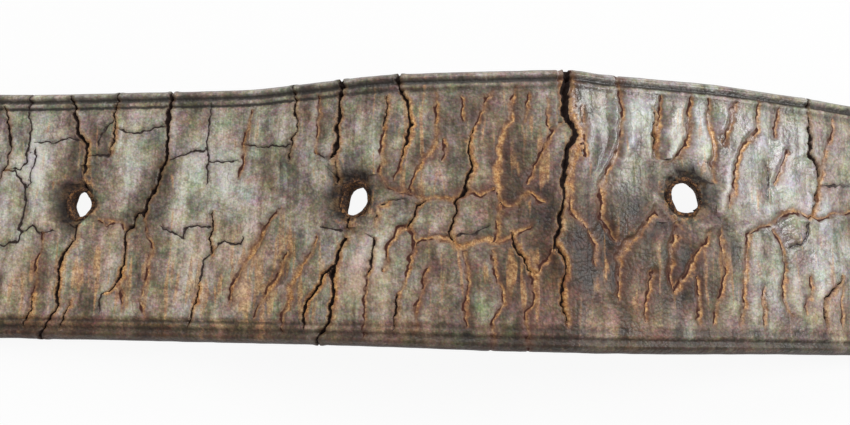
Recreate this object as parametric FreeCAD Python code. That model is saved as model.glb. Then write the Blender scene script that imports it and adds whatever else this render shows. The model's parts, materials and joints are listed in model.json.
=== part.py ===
"""A leather strop in the form of a heavy buckled strap.

One thick strap of creased bridle leather carries a row of hand-punched holes and ends in a
pointed tip.  Its other end is folded round the heel bar of a roller buckle and riveted to itself.
A fixed keeper is trapped between the two layers, in a pocket between the rows of rivets, and a
second keeper slides along the strap.
Long use has left the holed length standing up in an arch, with a sharp ridge at its worst fold.

Frame: +X along the strap from the buckle to the tip, +Y across it, +Z up.  The origin is on the
surface that the strop lies on, under the middle of its overall length.  All lengths are in mm.
"""

import FreeCAD
import Part

import math
import os

V = FreeCAD.Vector

# ---------------------------------------------------------------- driving dimensions

overall_length = 620.0        # front of the buckle's roller to the tip of the strap

strap_width = 45.0
strap_thickness = 4.0
tip_taper_radius = 40.0       # the long curves that draw the strap in to its tip
tip_nose_radius = 5.0
edge_bevel = 0.7              # cut along every edge before it was burnished

crease_inset = 2.2            # strap edge to the near side of the creased line
crease_width = 0.8
crease_depth = 0.45

hole_radius = 2.6
hole_mouth_radius = 3.6       # the grain side of each hole is worn open to this
hole_mouth_depth = 0.9
first_hole_from_tip = 62.0
hole_spacings = (50.0, 52.1, 50.6, 50.0)      # uneven, as punched by hand, from the tip on
hole_side_steps = (3.9, 3.5, 2.0, 1.5, 1.2)   # how far each hole drifts off the centre line

# The arch, as corners of the strap's underside: distance from the middle hole towards the
# tip, height above the table, and radius of the bend there.
arch_corners = (
    (-66.8, 0.0, 150.0),
    (-20.5, 5.8, 40.0),
    (2.9, 14.5, 30.0),
    (33.9, 17.7, 4.0),
    (38.0, 15.9, 12.0),
    (59.6, 12.3, 50.0),
    (75.2, 7.5, 50.0),
    (95.8, 0.0, 60.0),
)

fold_thickness = 2.8          # the leather is skived to this where it goes round the bar
fold_skive_length = 7.0       # over which it comes back to its full thickness
layer_gap = 0.2               # between the strap and its folded-back end
pinch_length = 12.0           # heel bar to where the two layers close on each other
turnback_end_thickness = 2.0
turnback_end_skive = 10.0
slot_length = 20.0            # of the prong's slot, behind the heel bar
slot_width = 7.0

wire_radius = 2.25            # of the buckle frame
bar_clearance = 0.25          # heel bar to the leather round it
frame_length = 34.0           # heel bar to front bar, centre to centre
frame_side_clearance = 2.0    # strap edge to the frame's arm
roller_clearance = 0.1
roller_wall = 0.8
roller_end_clearance = 0.6
roller_seam = 0.6
floor_clearance = 0.05        # under the buckle end, which only just misses the table

prong_width = 5.0
prong_tip_width = 4.0
prong_thickness = 2.8
prong_clearance = 0.1         # heel bar to the prong's eye
prong_eye_wall = 1.8
prong_seat_gap = 0.15         # prong to roller
prong_overhang = 2.8          # the prong's tip beyond the centre of the roller

rivet_post_radius = 1.75
rivet_head_radius = 4.6
rivet_head_height = 1.2
rivet_head_rim = 0.5
rivet_crown_radius = 2.8
rivet_side_step = 13.0
rivet_edge_margin = 1.8       # from a rivet head or burr to the nearest bend in the leather
rivet_hole_clearance = 0.05
burr_radius = 4.2
burr_thickness = 1.0
peen_radius = 2.5
peen_crown_radius = 1.5
peen_height = 0.7

keeper_width = 14.0
keeper_thickness = 2.0
keeper_side_slack = 0.6
keeper_tail_room = 5.2        # over the strap, for the tip end to pass through
keeper_inner_radius = 1.2
keeper_butt_gap = 0.3         # between the loop's two ends, under the strap
pocket_clearance = 0.2        # over and under the fixed keeper's lower run
pocket_ramp = 8.0             # from a rivet head to the fixed keeper
sliding_keeper_gap = 8.0      # from the strap's ramp to the sliding keeper
sliding_travel = 60.0

staple_thickness = 0.6
staple_width = 1.2
staple_length = 10.0
staple_leg_radius = 0.45
staple_leg_depth = 1.6
staple_clearance = 0.3        # the sliding keeper's staple to the strap above it

ramp_length = 20.0            # over which the strap comes down one step in height
gentle_bend = 60.0            # radius of its bends there
tight_bend = 12.0             # and of those at the fold and round the fixed keeper

# ---------------------------------------------------------------- places worked out from them

half_width = strap_width / 2
bar_loop_radius = wire_radius + bar_clearance
fold_outer_radius = bar_loop_radius + fold_thickness

# Heights at the rivets.  The burrs and the peened ends under the fold just clear the table.
turnback_underside = floor_clearance + peen_height + burr_thickness
turnback_top = turnback_underside + fold_thickness
doubled_underside = turnback_top + layer_gap
doubled_top = doubled_underside + strap_thickness

# Heights at the fixed keeper.  The lower layer dips to the table, and the upper one rises.
pocket_floor = floor_clearance + fold_thickness
pocket_roof = pocket_floor + keeper_thickness + staple_thickness + 2 * pocket_clearance
pocket_dip = turnback_top - pocket_floor
pocket_rise = pocket_roof - doubled_underside

# The fold round the heel bar just clears the table too.
bar_z = floor_clearance + fold_outer_radius

# Height of the strap over the sliding keeper, whose lower run lies on the table.
lift = keeper_thickness + staple_thickness + staple_clearance

# Distances from the heel bar.
first_rivets = pinch_length + fold_skive_length + rivet_edge_margin + rivet_head_radius
pocket_start = first_rivets + rivet_head_radius + rivet_edge_margin
fixed_keeper_start = pocket_start + pocket_ramp
pocket_end = fixed_keeper_start + keeper_width + pocket_ramp
second_rivets = pocket_end + rivet_edge_margin + rivet_head_radius
turnback_skive_start = second_rivets + burr_radius + rivet_edge_margin
turnback_length = turnback_skive_start + turnback_end_skive
sliding_keeper_start = turnback_length + ramp_length + sliding_keeper_gap
lifted_length = sliding_keeper_start + keeper_width + sliding_travel + ramp_length / 2

# The frame hangs from the heel bar until its roller meets the table.
roller_outer_radius = wire_radius + roller_clearance + roller_wall
frame_drop = math.asin((bar_z - roller_outer_radius - floor_clearance) / frame_length)
frame_reach = frame_length * math.cos(frame_drop) + roller_outer_radius

tip_x = overall_length / 2
heel_x = -overall_length / 2 + frame_reach
turnback_end_x = heel_x + turnback_length

hole_xs = [tip_x - first_hole_from_tip]
for spacing in hole_spacings:
    hole_xs.append(hole_xs[-1] - spacing)
middle_hole_x = hole_xs[len(hole_xs) // 2]

arm_y = half_width + frame_side_clearance + wire_radius
frame_corner_radius = arm_y - half_width


# ---------------------------------------------------------------- small tools

def line(start, end):
    return Part.LineSegment(start, end).toShape()


def arc(start, middle, end):
    return Part.Arc(start, middle, end).toShape()


def side_point(x, z):
    return V(x, 0, z)


def rounded_path(corners):
    """Lines and tangent arcs through (x, z, radius) corners in the XZ plane."""
    edges = []
    start = side_point(*corners[0][:2])
    for before, corner, after in zip(corners, corners[1:], corners[2:]):
        here = side_point(*corner[:2])
        back = (side_point(*before[:2]) - here).normalize()
        ahead = (side_point(*after[:2]) - here).normalize()
        half_turn = (math.pi - back.getAngle(ahead)) / 2
        radius = corner[2]
        if radius == 0 or half_turn < 1e-4:
            edges.append(line(start, here))
            start = here
            continue
        trim = radius * math.tan(half_turn)
        towards_centre = (back + ahead).normalize()
        middle = here + towards_centre * (radius / math.cos(half_turn) - radius)
        edges.append(line(start, here + back * trim))
        edges.append(arc(here + back * trim, middle, here + ahead * trim))
        start = here + ahead * trim
    edges.append(line(start, side_point(*corners[-1][:2])))
    return edges


def offset_corners(corners, distance):
    """The corners of a path that runs towards +X, moved up by distance square to each stretch."""
    moved = []
    last = len(corners) - 1
    for i, (x, z, radius) in enumerate(corners):
        before = corners[max(i - 1, 0)]
        after = corners[min(i + 1, last)]
        slope_in = math.atan2(z - before[1], x - before[0]) if i > 0 else None
        slope_out = math.atan2(after[1] - z, after[0] - x) if i < last else slope_in
        if slope_in is None:
            slope_in = slope_out
        mean = (slope_in + slope_out) / 2
        reach = distance / math.cos((slope_out - slope_in) / 2)
        grows = distance if slope_out < slope_in else -distance
        new_radius = radius + grows if radius else 0
        moved.append((x - reach * math.sin(mean), z + reach * math.cos(mean), new_radius))
    return moved


def tangent_point(outside, centre, radius, upper):
    """Where the line from an outside point touches a circle, on its upper or its lower side."""
    to_point = outside - centre
    lean = math.atan2(to_point.z, to_point.x)
    spread = math.acos(radius / to_point.Length)
    angle = lean + spread if upper else lean - spread
    return centre + V(math.cos(angle), 0, math.sin(angle)) * radius


def closed_face(edges):
    """A flat face inside edges given in any order."""
    return Part.Face(Part.Wire(Part.sortEdges(edges)[0]))


def extrude_across(edges, half_span):
    """A side profile made solid from -half_span to +half_span across the strap."""
    face = closed_face(edges)
    face.translate(V(0, -half_span, 0))
    return face.extrude(V(0, 2 * half_span, 0))


def save(name, shape):
    for solid in shape.Solids:
        if not solid.isValid():
            print("INVALID", name)
    shape.exportStep("parts/" + name + ".step")
    print(f"{name}: {len(shape.Solids)} solid(s), {shape.Volume:.1f} mm3")


# ---------------------------------------------------------------- the strap's own line

underside_corners = (
    [
        (heel_x + pinch_length, doubled_underside, tight_bend),
        (heel_x + pocket_start, doubled_underside, tight_bend),
        (heel_x + fixed_keeper_start, pocket_roof, tight_bend),
        (heel_x + fixed_keeper_start + keeper_width, pocket_roof, tight_bend),
        (heel_x + pocket_end, doubled_underside, tight_bend),
        (heel_x + turnback_length, doubled_underside, gentle_bend),
        (heel_x + turnback_length + ramp_length, lift, gentle_bend),
        (heel_x + lifted_length, lift, gentle_bend),
        (heel_x + lifted_length + ramp_length, 0.0, gentle_bend),
    ]
    + [(middle_hole_x + x, z, radius) for x, z, radius in arch_corners]
    + [(tip_x, 0.0, 0.0)]
)
turnback_corners = [
    (heel_x + pinch_length, turnback_underside, tight_bend),
    (heel_x + pocket_start, turnback_underside, tight_bend),
    (heel_x + fixed_keeper_start, turnback_underside - pocket_dip, tight_bend),
    (heel_x + fixed_keeper_start + keeper_width, turnback_underside - pocket_dip, tight_bend),
    (heel_x + pocket_end, turnback_underside, tight_bend),
    (turnback_end_x, turnback_underside, 0.0),
]
heel = side_point(heel_x, bar_z)


def strap_side_profile(peel):
    """The strap and its fold seen from the side, with peel taken off the whole grain side."""
    pinch_top = (heel_x + pinch_length, doubled_underside + fold_thickness - peel, tight_bend)
    skive_end = (heel_x + pinch_length + fold_skive_length, doubled_top - peel, tight_bend)
    grain = [pinch_top, skive_end] + offset_corners(underside_corners, strap_thickness - peel)[1:]

    closed = offset_corners(turnback_corners, fold_thickness)
    outer_turnback = offset_corners(turnback_corners, peel)
    outer_turnback[-1:] = [
        (heel_x + turnback_skive_start, turnback_underside + peel, tight_bend),
        (turnback_end_x, turnback_top - turnback_end_thickness + peel, 0.0),
    ]

    outer = fold_outer_radius - peel
    outer_up = tangent_point(side_point(*grain[0][:2]), heel, outer, True)
    outer_down = tangent_point(side_point(*outer_turnback[0][:2]), heel, outer, False)
    inner_up = tangent_point(side_point(*underside_corners[0][:2]), heel, bar_loop_radius, True)
    inner_down = tangent_point(side_point(*closed[0][:2]), heel, bar_loop_radius, False)

    tip = [side_point(*path[-1][:2]) for path in (grain, underside_corners)]
    end = [side_point(*path[-1][:2]) for path in (outer_turnback, closed)]
    return (
        rounded_path([(outer_up.x, outer_up.z, 0)] + grain)
        + [line(*tip)]
        + rounded_path([(inner_up.x, inner_up.z, 0)] + underside_corners)
        + [arc(inner_up, heel - V(bar_loop_radius, 0, 0), inner_down)]
        + rounded_path([(inner_down.x, inner_down.z, 0)] + closed)
        + [line(*end)]
        + rounded_path([(outer_down.x, outer_down.z, 0)] + outer_turnback)
        + [arc(outer_down, heel - V(outer, 0, 0), outer_up)]
    )


def strap_plan(inset):
    """The strap seen from above, pulled in by inset: straight sides, long tapers and a nose."""
    half = half_width - inset
    taper = tip_taper_radius - inset
    nose = tip_nose_radius - inset
    nose_centre = V(tip_x - tip_nose_radius, 0, 0)
    taper_run = math.sqrt((taper - nose) ** 2 - (taper - half) ** 2)
    taper_start = nose_centre.x - taper_run
    meet_angle = math.atan2(taper - half, taper_run)
    back = heel_x - fold_outer_radius - 1

    def on_taper(side, angle):
        centre = V(taper_start, side * (half - taper), 0)
        return centre + V(math.cos(angle), side * math.sin(angle), 0) * taper

    def on_nose(angle):
        return nose_centre + V(math.cos(angle), math.sin(angle), 0) * nose

    edges = [line(V(back, -half, 0), V(back, half, 0))]
    for side in (-1, 1):
        halfway = (math.pi / 2 + meet_angle) / 2
        edges.append(line(V(back, side * half, 0), V(taper_start, side * half, 0)))
        edges.append(arc(*(on_taper(side, angle) for angle in (math.pi / 2, halfway, meet_angle))))
    edges.append(arc(*(on_nose(angle) for angle in (meet_angle, 0, -meet_angle))))
    return closed_face(edges)


def standing(face):
    """A plan face made solid over the strap's whole height."""
    depth = 2 * max(z for x, z, radius in underside_corners) + 2 * doubled_top
    face.translate(V(0, 0, -depth / 2))
    return face.extrude(V(0, 0, depth))


def underside_at(x):
    """Height and slope angle of the strap's underside at x, on its lines and arcs."""
    for edge in rounded_path(underside_corners):
        low, high = edge.ParameterRange
        if not edge.valueAt(low).x <= x <= edge.valueAt(high).x:
            if not edge.valueAt(high).x <= x <= edge.valueAt(low).x:
                continue
        rising = edge.valueAt(high).x > edge.valueAt(low).x
        for _ in range(50):
            middle = (low + high) / 2
            if (edge.valueAt(middle).x < x) == rising:
                low = middle
            else:
                high = middle
        along = edge.tangentAt(low)
        return edge.valueAt(low).z, math.atan(along.z / along.x)
    raise ValueError(f"the strap has no underside at x = {x}")


def hole_axis(index):
    """Foot of a punched hole on the strap's underside, and the direction square to the leather."""
    x = hole_xs[index]
    z, slope = underside_at(x)
    return V(x, hole_side_steps[index], z), V(-math.sin(slope), 0, math.cos(slope))


# ---------------------------------------------------------------- the strap

def punched_hole(index):
    """The punch's straight bore and the mouth that wear has opened on the grain side."""
    foot, up = hole_axis(index)
    spare = 3.0
    bore = Part.makeCylinder(hole_radius, strap_thickness + 2 * spare, foot - up * spare, up)
    widening = (hole_mouth_radius - hole_radius) / hole_mouth_depth
    mouth = Part.makeCone(
        hole_radius,
        hole_radius + widening * (hole_mouth_depth + spare),
        hole_mouth_depth + spare,
        foot + up * (strap_thickness - hole_mouth_depth),
        up,
    )
    return bore.fuse(mouth)


def rivet_places():
    rows = (heel_x + first_rivets, heel_x + second_rivets)
    return [(x, side * rivet_side_step) for x in rows for side in (-1, 1)]


def make_strap():
    solid = extrude_across(strap_side_profile(0), strap_width)
    peeled = extrude_across(strap_side_profile(crease_depth), strap_width)
    strap = solid.common(standing(strap_plan(0))).Solids[0]

    arrises = []
    for edge in strap.Edges:
        walls = [face for face in strap.ancestorsOfType(edge, Part.Face) if is_edge_wall(face)]
        if len(walls) == 1:
            arrises.append(edge)
    strap = strap.makeChamfer(edge_bevel, arrises)

    crease_ring = standing(strap_plan(crease_inset)).cut(
        standing(strap_plan(crease_inset + crease_width))
    )
    strap = strap.cut(solid.cut(peeled).common(crease_ring))

    for index in range(len(hole_xs)):
        strap = strap.cut(punched_hole(index))

    slot_start = heel_x - fold_outer_radius - 1
    slot_end = heel_x + slot_length - slot_width / 2
    slot = Part.makeBox(slot_end - slot_start, slot_width, 4 * doubled_top)
    slot.translate(V(slot_start, -slot_width / 2, -doubled_top))
    slot_round = Part.makeCylinder(slot_width / 2, 4 * doubled_top, V(slot_end, 0, -doubled_top))
    strap = strap.cut(slot.fuse(slot_round))

    for x, y in rivet_places():
        strap = strap.cut(
            Part.makeCylinder(rivet_post_radius + rivet_hole_clearance, 4 * doubled_top, V(x, y, -doubled_top))
        )
    return strap.removeSplitter()


def is_edge_wall(face):
    """True for the upright walls along the strap's sides and round its tip."""
    u_low, u_high, v_low, v_high = face.ParameterRange
    normal = face.normalAt((u_low + u_high) / 2, (v_low + v_high) / 2)
    square_end = abs(face.CenterOfMass.x - turnback_end_x) < 0.01
    return abs(normal.z) < 1e-6 and abs(normal.y) > 1e-6 and not square_end


# ---------------------------------------------------------------- the buckle

def hang(shape):
    """Moves a buckle piece, drawn flat about the heel bar, to where it hangs."""
    shape.rotate(V(0, 0, 0), V(0, 1, 0), -math.degrees(frame_drop))
    shape.translate(heel)
    return shape


def bent_wire(path, radius):
    """Round wire along a closed path of lines and arcs, as one solid."""
    pieces = []
    for edge in path:
        low, high = edge.ParameterRange
        begin, finish = edge.valueAt(low), edge.valueAt(high)
        disc = Part.Face(Part.Wire(Part.makeCircle(radius, begin, edge.tangentAt(low))))
        if isinstance(edge.Curve, Part.Circle):
            pieces.append(disc.revolve(edge.Curve.Center, edge.Curve.Axis, math.degrees(high - low)))
        else:
            pieces.append(disc.extrude(finish - begin))
    return pieces[0].fuse(pieces[1:]).removeSplitter()


def make_buckle_frame():
    """A closed rectangle of round wire with bent corners, the heel bar through the origin."""
    bend = frame_corner_radius
    middle = bend * (1 - math.sqrt(0.5))
    path = []
    for x, inwards in ((0, -1), (-frame_length, 1)):
        path.append(line(V(x, -arm_y + bend, 0), V(x, arm_y - bend, 0)))
        for side in (-1, 1):
            y = side * arm_y
            path.append(
                arc(
                    V(x, y - side * bend, 0),
                    V(x + inwards * middle, y - side * middle, 0),
                    V(x + inwards * bend, y, 0),
                )
            )
    for y in (-arm_y, arm_y):
        path.append(line(V(-bend, y, 0), V(-frame_length + bend, y, 0)))
    return hang(bent_wire(path, wire_radius))


def make_roller():
    """A strip of sheet metal rolled into a tube round the front bar, with its seam left open."""
    length = 2 * (arm_y - frame_corner_radius - roller_end_clearance)
    foot = V(-frame_length, -length / 2, 0)
    across = V(0, 1, 0)
    tube = Part.makeCylinder(roller_outer_radius, length, foot, across)
    tube = tube.cut(Part.makeCylinder(wire_radius + roller_clearance, length, foot, across))
    seam = Part.makeBox(2 * roller_outer_radius, length, roller_seam)
    seam.translate(foot + V(0, 0, -roller_seam / 2))
    return hang(tube.cut(seam))


def make_prong():
    """An eye round the heel bar, and a shank that lies over the roller and dips past it."""
    eye_radius = wire_radius + prong_clearance + prong_eye_wall
    seat = roller_outer_radius + prong_seat_gap
    front = -frame_length
    tip = front - prong_overhang
    profile = rounded_path(
        [
            (0, eye_radius, 0),
            (0.55 * front, eye_radius + 0.3, 30.0),
            (front + 1.5, seat + prong_thickness, 10.0),
            (tip, seat + 0.35 * prong_thickness, 0),
            (tip, seat - 0.25 * prong_thickness, 0),
            (front - 2.0, seat, 2.5),
            (front + 3.0, seat, 12.0),
            (0.55 * front, eye_radius - prong_thickness + 0.3, 30.0),
            (0, eye_radius - prong_thickness, 0),
            (0, eye_radius, 0),
        ]
    )
    shank = extrude_across(profile, prong_width / 2)
    eye = Part.makeCylinder(eye_radius, prong_width, V(0, -prong_width / 2, 0), V(0, 1, 0))
    prong = shank.fuse(eye).removeSplitter()

    tip_half = prong_tip_width / 2
    plan = Part.Face(
        Part.Wire(
            [
                line(V(eye_radius + 1, -prong_width / 2, 0), V(-eye_radius, -prong_width / 2, 0)),
                line(V(-eye_radius, -prong_width / 2, 0), V(tip + tip_half, -tip_half, 0)),
                arc(V(tip + tip_half, -tip_half, 0), V(tip, 0, 0), V(tip + tip_half, tip_half, 0)),
                line(V(tip + tip_half, tip_half, 0), V(-eye_radius, prong_width / 2, 0)),
                line(V(-eye_radius, prong_width / 2, 0), V(eye_radius + 1, prong_width / 2, 0)),
                line(V(eye_radius + 1, prong_width / 2, 0), V(eye_radius + 1, -prong_width / 2, 0)),
            ]
        )
    )
    plan.translate(V(0, 0, -2 * eye_radius))
    prong = prong.common(plan.extrude(V(0, 0, 4 * eye_radius)))
    bore = Part.makeCylinder(
        wire_radius + prong_clearance, 2 * prong_width, V(0, -prong_width, 0), V(0, 1, 0)
    )
    return hang(prong.cut(bore))


# ---------------------------------------------------------------- keepers and their staples

def keeper_loop(start_x, foot_z, strap_top):
    """A leather loop round the strap, its ends butted in the middle of the lower run."""
    outer_half = half_width + keeper_side_slack + keeper_thickness
    inner_half = outer_half - keeper_thickness
    height = strap_top + keeper_tail_room + keeper_thickness - foot_z
    outer = Part.makeBox(keeper_width, 2 * outer_half, height, V(start_x, -outer_half, foot_z))
    inner = Part.makeBox(
        keeper_width,
        2 * inner_half,
        height - 2 * keeper_thickness,
        V(start_x, -inner_half, foot_z + keeper_thickness),
    )
    outer = outer.makeFillet(keeper_inner_radius + keeper_thickness, edges_along_x(outer))
    inner = inner.makeFillet(keeper_inner_radius, edges_along_x(inner))
    loop = outer.cut(inner)
    butt = Part.makeBox(
        keeper_width,
        keeper_butt_gap,
        keeper_thickness,
        V(start_x, -keeper_butt_gap / 2, foot_z),
    )
    loop = loop.cut(butt)
    for side in (-1, 1):
        loop = loop.cut(staple_leg(start_x, foot_z, side))
    return loop


def edges_along_x(shape):
    return [edge for edge in shape.Edges if abs(edge.tangentAt(edge.FirstParameter).x) > 0.99]


def staple_leg(start_x, foot_z, side):
    y = side * (staple_length / 2 - staple_leg_radius)
    z = foot_z + keeper_thickness - staple_leg_depth
    return Part.makeCylinder(staple_leg_radius, staple_leg_depth, V(start_x + keeper_width / 2, y, z))


def keeper_staple(start_x, foot_z):
    """A wire staple across the loop's butted ends, on the inside, where the strap covers it."""
    x = start_x + (keeper_width - staple_width) / 2
    crown = Part.makeBox(
        staple_width,
        staple_length,
        staple_thickness,
        V(x, -staple_length / 2, foot_z + keeper_thickness),
    )
    for side in (-1, 1):
        crown = crown.fuse(staple_leg(start_x, foot_z, side))
    return crown.removeSplitter()


# ---------------------------------------------------------------- rivets

def make_rivet(x, y):
    """A low bevelled head on the grain side, a post, and an end peened over the burr."""
    under_burr = turnback_underside - burr_thickness
    levels = [
        (0, under_burr - peen_height),
        (peen_crown_radius, under_burr - peen_height),
        (peen_radius, under_burr),
        (rivet_post_radius, under_burr),
        (rivet_post_radius, doubled_top),
        (rivet_head_radius, doubled_top),
        (rivet_head_radius, doubled_top + rivet_head_rim),
        (rivet_crown_radius, doubled_top + rivet_head_height),
        (0, doubled_top + rivet_head_height),
    ]
    corners = [side_point(*level) for level in levels]
    outline = [line(a, b) for a, b in zip(corners, corners[1:] + corners[:1])]
    rivet = closed_face(outline).revolve(V(0, 0, 0), V(0, 0, 1), 360)
    rivet.translate(V(x, y, 0))
    return rivet


def make_burr(x, y):
    """The washer under the fold that a rivet is peened over."""
    foot = V(x, y, turnback_underside - burr_thickness)
    burr = Part.makeCylinder(burr_radius, burr_thickness, foot)
    return burr.cut(Part.makeCylinder(rivet_post_radius, burr_thickness, foot))


# ---------------------------------------------------------------- write them all

os.makedirs("parts", exist_ok=True)

fixed_keeper_x = heel_x + fixed_keeper_start
fixed_keeper_foot = pocket_floor + pocket_clearance
sliding_keeper_x = heel_x + sliding_keeper_start

save("strap", make_strap())
save("buckle_frame", make_buckle_frame())
save("buckle_roller", make_roller())
save("buckle_prong", make_prong())
save("fixed_keeper", keeper_loop(fixed_keeper_x, fixed_keeper_foot, pocket_roof + strap_thickness))
save("fixed_keeper_staple", keeper_staple(fixed_keeper_x, fixed_keeper_foot))
save("sliding_keeper", keeper_loop(sliding_keeper_x, 0, lift + strap_thickness))
save("sliding_keeper_staple", keeper_staple(sliding_keeper_x, 0))
save("rivets", Part.makeCompound([make_rivet(x, y) for x, y in rivet_places()]))
save("rivet_burrs", Part.makeCompound([make_burr(x, y) for x, y in rivet_places()]))
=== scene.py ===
# %% [markdown]
# # A leather strop made from an old buckled strap
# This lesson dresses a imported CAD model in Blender. The strap is thick bridle leather, dry and
# cracked with age. It has a row of worn holes, a folded and riveted buckle end, two keepers and a
# pointed tip. The CAD model fixes every size and joint, so each new piece takes its place from it.

import json
import math
from types import SimpleNamespace

import bmesh
import bpy
import numpy as np
from mathutils import Matrix, Vector, noise


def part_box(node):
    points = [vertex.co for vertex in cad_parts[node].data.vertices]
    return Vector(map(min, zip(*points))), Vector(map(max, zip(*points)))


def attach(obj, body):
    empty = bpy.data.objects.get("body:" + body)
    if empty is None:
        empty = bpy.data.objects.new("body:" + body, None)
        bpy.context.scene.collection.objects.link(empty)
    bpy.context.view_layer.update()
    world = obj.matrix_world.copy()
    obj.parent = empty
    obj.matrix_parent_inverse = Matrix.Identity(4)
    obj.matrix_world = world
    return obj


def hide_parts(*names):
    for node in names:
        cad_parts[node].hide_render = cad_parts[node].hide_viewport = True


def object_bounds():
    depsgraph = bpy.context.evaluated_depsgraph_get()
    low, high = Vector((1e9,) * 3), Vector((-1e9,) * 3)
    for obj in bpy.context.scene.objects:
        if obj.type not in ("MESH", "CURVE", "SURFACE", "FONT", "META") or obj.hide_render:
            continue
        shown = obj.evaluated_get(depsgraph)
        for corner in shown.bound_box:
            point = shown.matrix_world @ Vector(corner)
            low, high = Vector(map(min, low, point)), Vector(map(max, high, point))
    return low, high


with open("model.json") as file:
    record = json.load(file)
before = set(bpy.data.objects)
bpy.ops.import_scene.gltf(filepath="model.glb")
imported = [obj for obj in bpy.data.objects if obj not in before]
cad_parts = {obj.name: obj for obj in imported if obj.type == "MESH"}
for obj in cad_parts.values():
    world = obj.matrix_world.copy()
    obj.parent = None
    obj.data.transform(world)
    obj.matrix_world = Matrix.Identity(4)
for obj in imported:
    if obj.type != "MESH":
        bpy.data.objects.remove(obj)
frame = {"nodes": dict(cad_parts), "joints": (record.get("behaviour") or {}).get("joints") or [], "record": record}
mm = 0.001
cad_low, cad_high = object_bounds()
joints = {joint["name"]: joint for joint in frame["joints"]}
mounts = {mount["name"]: mount for mount in frame["record"]["mounts"]}
print("nodes:", ", ".join(sorted(frame["nodes"])))

# %% [markdown]
# ## Where things are
# The buckle's hinge gives the middle of the fold, and each hole's mount gives its bore. The
# lengths below repeat the CAD model's own, so that the new strap has the same shape. The middle
# hole is the place that all of the wear is measured from.

# %% Sizes of the strap
heel = Vector(joints["frame_swing"]["pos_m"])
strap_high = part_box("strap")[1]
tip_x = strap_high.x
half_width = strap_high.y
strap_thickness = 4.0 * mm
fold_thickness = 2.8 * mm
turnback_end_thickness = 2.0 * mm
bar_loop_radius = 2.5 * mm

holes = []
for name in sorted(name for name in mounts if mounts[name]["kind"] == "bore"):
    mount = mounts[name]
    up = Vector(mount["axis"])
    bore_length = mount["dims"]["length_mm"] * mm
    holes.append({"foot": Vector(mount["pos_m"]) - up * bore_length / 2, "up": up})
hole_radius = mounts["hole_1"]["dims"]["r_mm"] * mm
middle_hole = holes[len(holes) // 2]
middle_mouth = middle_hole["foot"] + middle_hole["up"] * strap_thickness
print(f"{len(holes)} holes, the middle one at x = {middle_hole['foot'].x / mm:.1f} mm")

# %% [markdown]
# ## The camera
# It looks down on the arched stretch from close by, a little from one side of the strap. The
# nearness gives the strap its swelling outline over the arch. It is made first, so that every
# later step can be judged in the picture.

# %% Place things and look at them
def placed(name, data):
    """Makes an object of its data and puts it in the scene."""
    made = bpy.data.objects.new(name, data)
    bpy.context.scene.collection.objects.link(made)
    return made


def looking_back(offset, roll=0.0):
    """The matrix of a camera or a lamp that stands off from the aim and looks back at it."""
    turned = (-offset).to_track_quat("-Z", "Y").to_matrix().to_4x4()
    return Matrix.Translation(aim + offset) @ turned @ Matrix.Rotation(roll, 4, "Z")


# %% Make the camera
# The aim lies under the arch, a little on the tip's side of the middle hole.
aim = middle_mouth + Vector((11.4, -0.5, -13.19)) * mm
camera_distance = 150 * mm
camera_elevation = math.radians(80)
camera_roll = math.radians(1.15)
lens_length = 34.98

away = Vector((0, -math.cos(camera_elevation), math.sin(camera_elevation)))
camera_data = bpy.data.cameras.new("camera")
camera_data.lens = lens_length
camera_data.sensor_width = 36
camera_data.clip_start = 5 * mm
camera = placed("camera", camera_data)
camera.matrix_world = looking_back(away * camera_distance, camera_roll)
bpy.context.scene.camera = camera
bpy.context.scene.view_settings.view_transform = "Standard"
print("camera at", [round(c / mm, 1) for c in camera.matrix_world.translation], "mm")

# %% [markdown]
# ## The line of the flesh side
# The inner, rough side of leather is its flesh side. One line follows it all the way: from the
# end of the folded-back layer, round the heel bar, and along to the tip. A strap made on this line
# can be cut and marked flat, as a saddler does it, and bent afterwards.

# %% Sizes of the folds and the arch
# Distances from the heel bar, in the order in which the line passes them.
pinch = 12.0 * mm
pocket_start = 31.8 * mm
keeper_start = 39.8 * mm
keeper_end = 53.8 * mm
pocket_end = 61.8 * mm
turnback_length = 84.2 * mm
lifted_length = 196.2 * mm
ramp_length = 20.0 * mm

# Heights of the line over the ground, and radii of its corners.
turnback_top = 4.55 * mm
doubled_underside = 4.75 * mm
pocket_floor = 2.85 * mm
pocket_roof = 5.85 * mm
lift = 2.9 * mm
tight = 12 * mm
gentle = 60 * mm

# Corners of the arch in mm: towards the tip from the middle hole, height, radius.
arch_corners = (
    (-66.8, 0.0, 150),
    (-20.5, 5.8, 40),
    (2.9, 14.5, 30),
    (33.9, 17.7, 4),
    (38.0, 15.9, 12),
    (59.6, 12.3, 50),
    (75.2, 7.5, 50),
    (95.8, 0.0, 60),
)
arch_start, arch_end = arch_corners[0][0], arch_corners[-1][0]
print(f"the arch runs from {arch_start} to {arch_end} mm, seen from the middle hole")

# %% Corners of the line
lower_corners = [
    (heel.x + turnback_length, turnback_top, 0),
    (heel.x + pocket_end, turnback_top, tight),
    (heel.x + keeper_end, pocket_floor, tight),
    (heel.x + keeper_start, pocket_floor, tight),
    (heel.x + pocket_start, turnback_top, tight),
    (heel.x + pinch, turnback_top, tight),
]
upper_corners = [
    (heel.x + pinch, doubled_underside, tight),
    (heel.x + pocket_start, doubled_underside, tight),
    (heel.x + keeper_start, pocket_roof, tight),
    (heel.x + keeper_end, pocket_roof, tight),
    (heel.x + pocket_end, doubled_underside, tight),
    (heel.x + turnback_length, doubled_underside, gentle),
    (heel.x + turnback_length + ramp_length, lift, gentle),
    (heel.x + lifted_length, lift, gentle),
    (heel.x + lifted_length + ramp_length, 0, gentle),
]
for x, z, radius in arch_corners:
    upper_corners.append((middle_hole["foot"].x + x * mm, z * mm, radius * mm))
upper_corners.append((tip_x, 0, 0))
print(len(lower_corners) + len(upper_corners), "corners")


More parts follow.
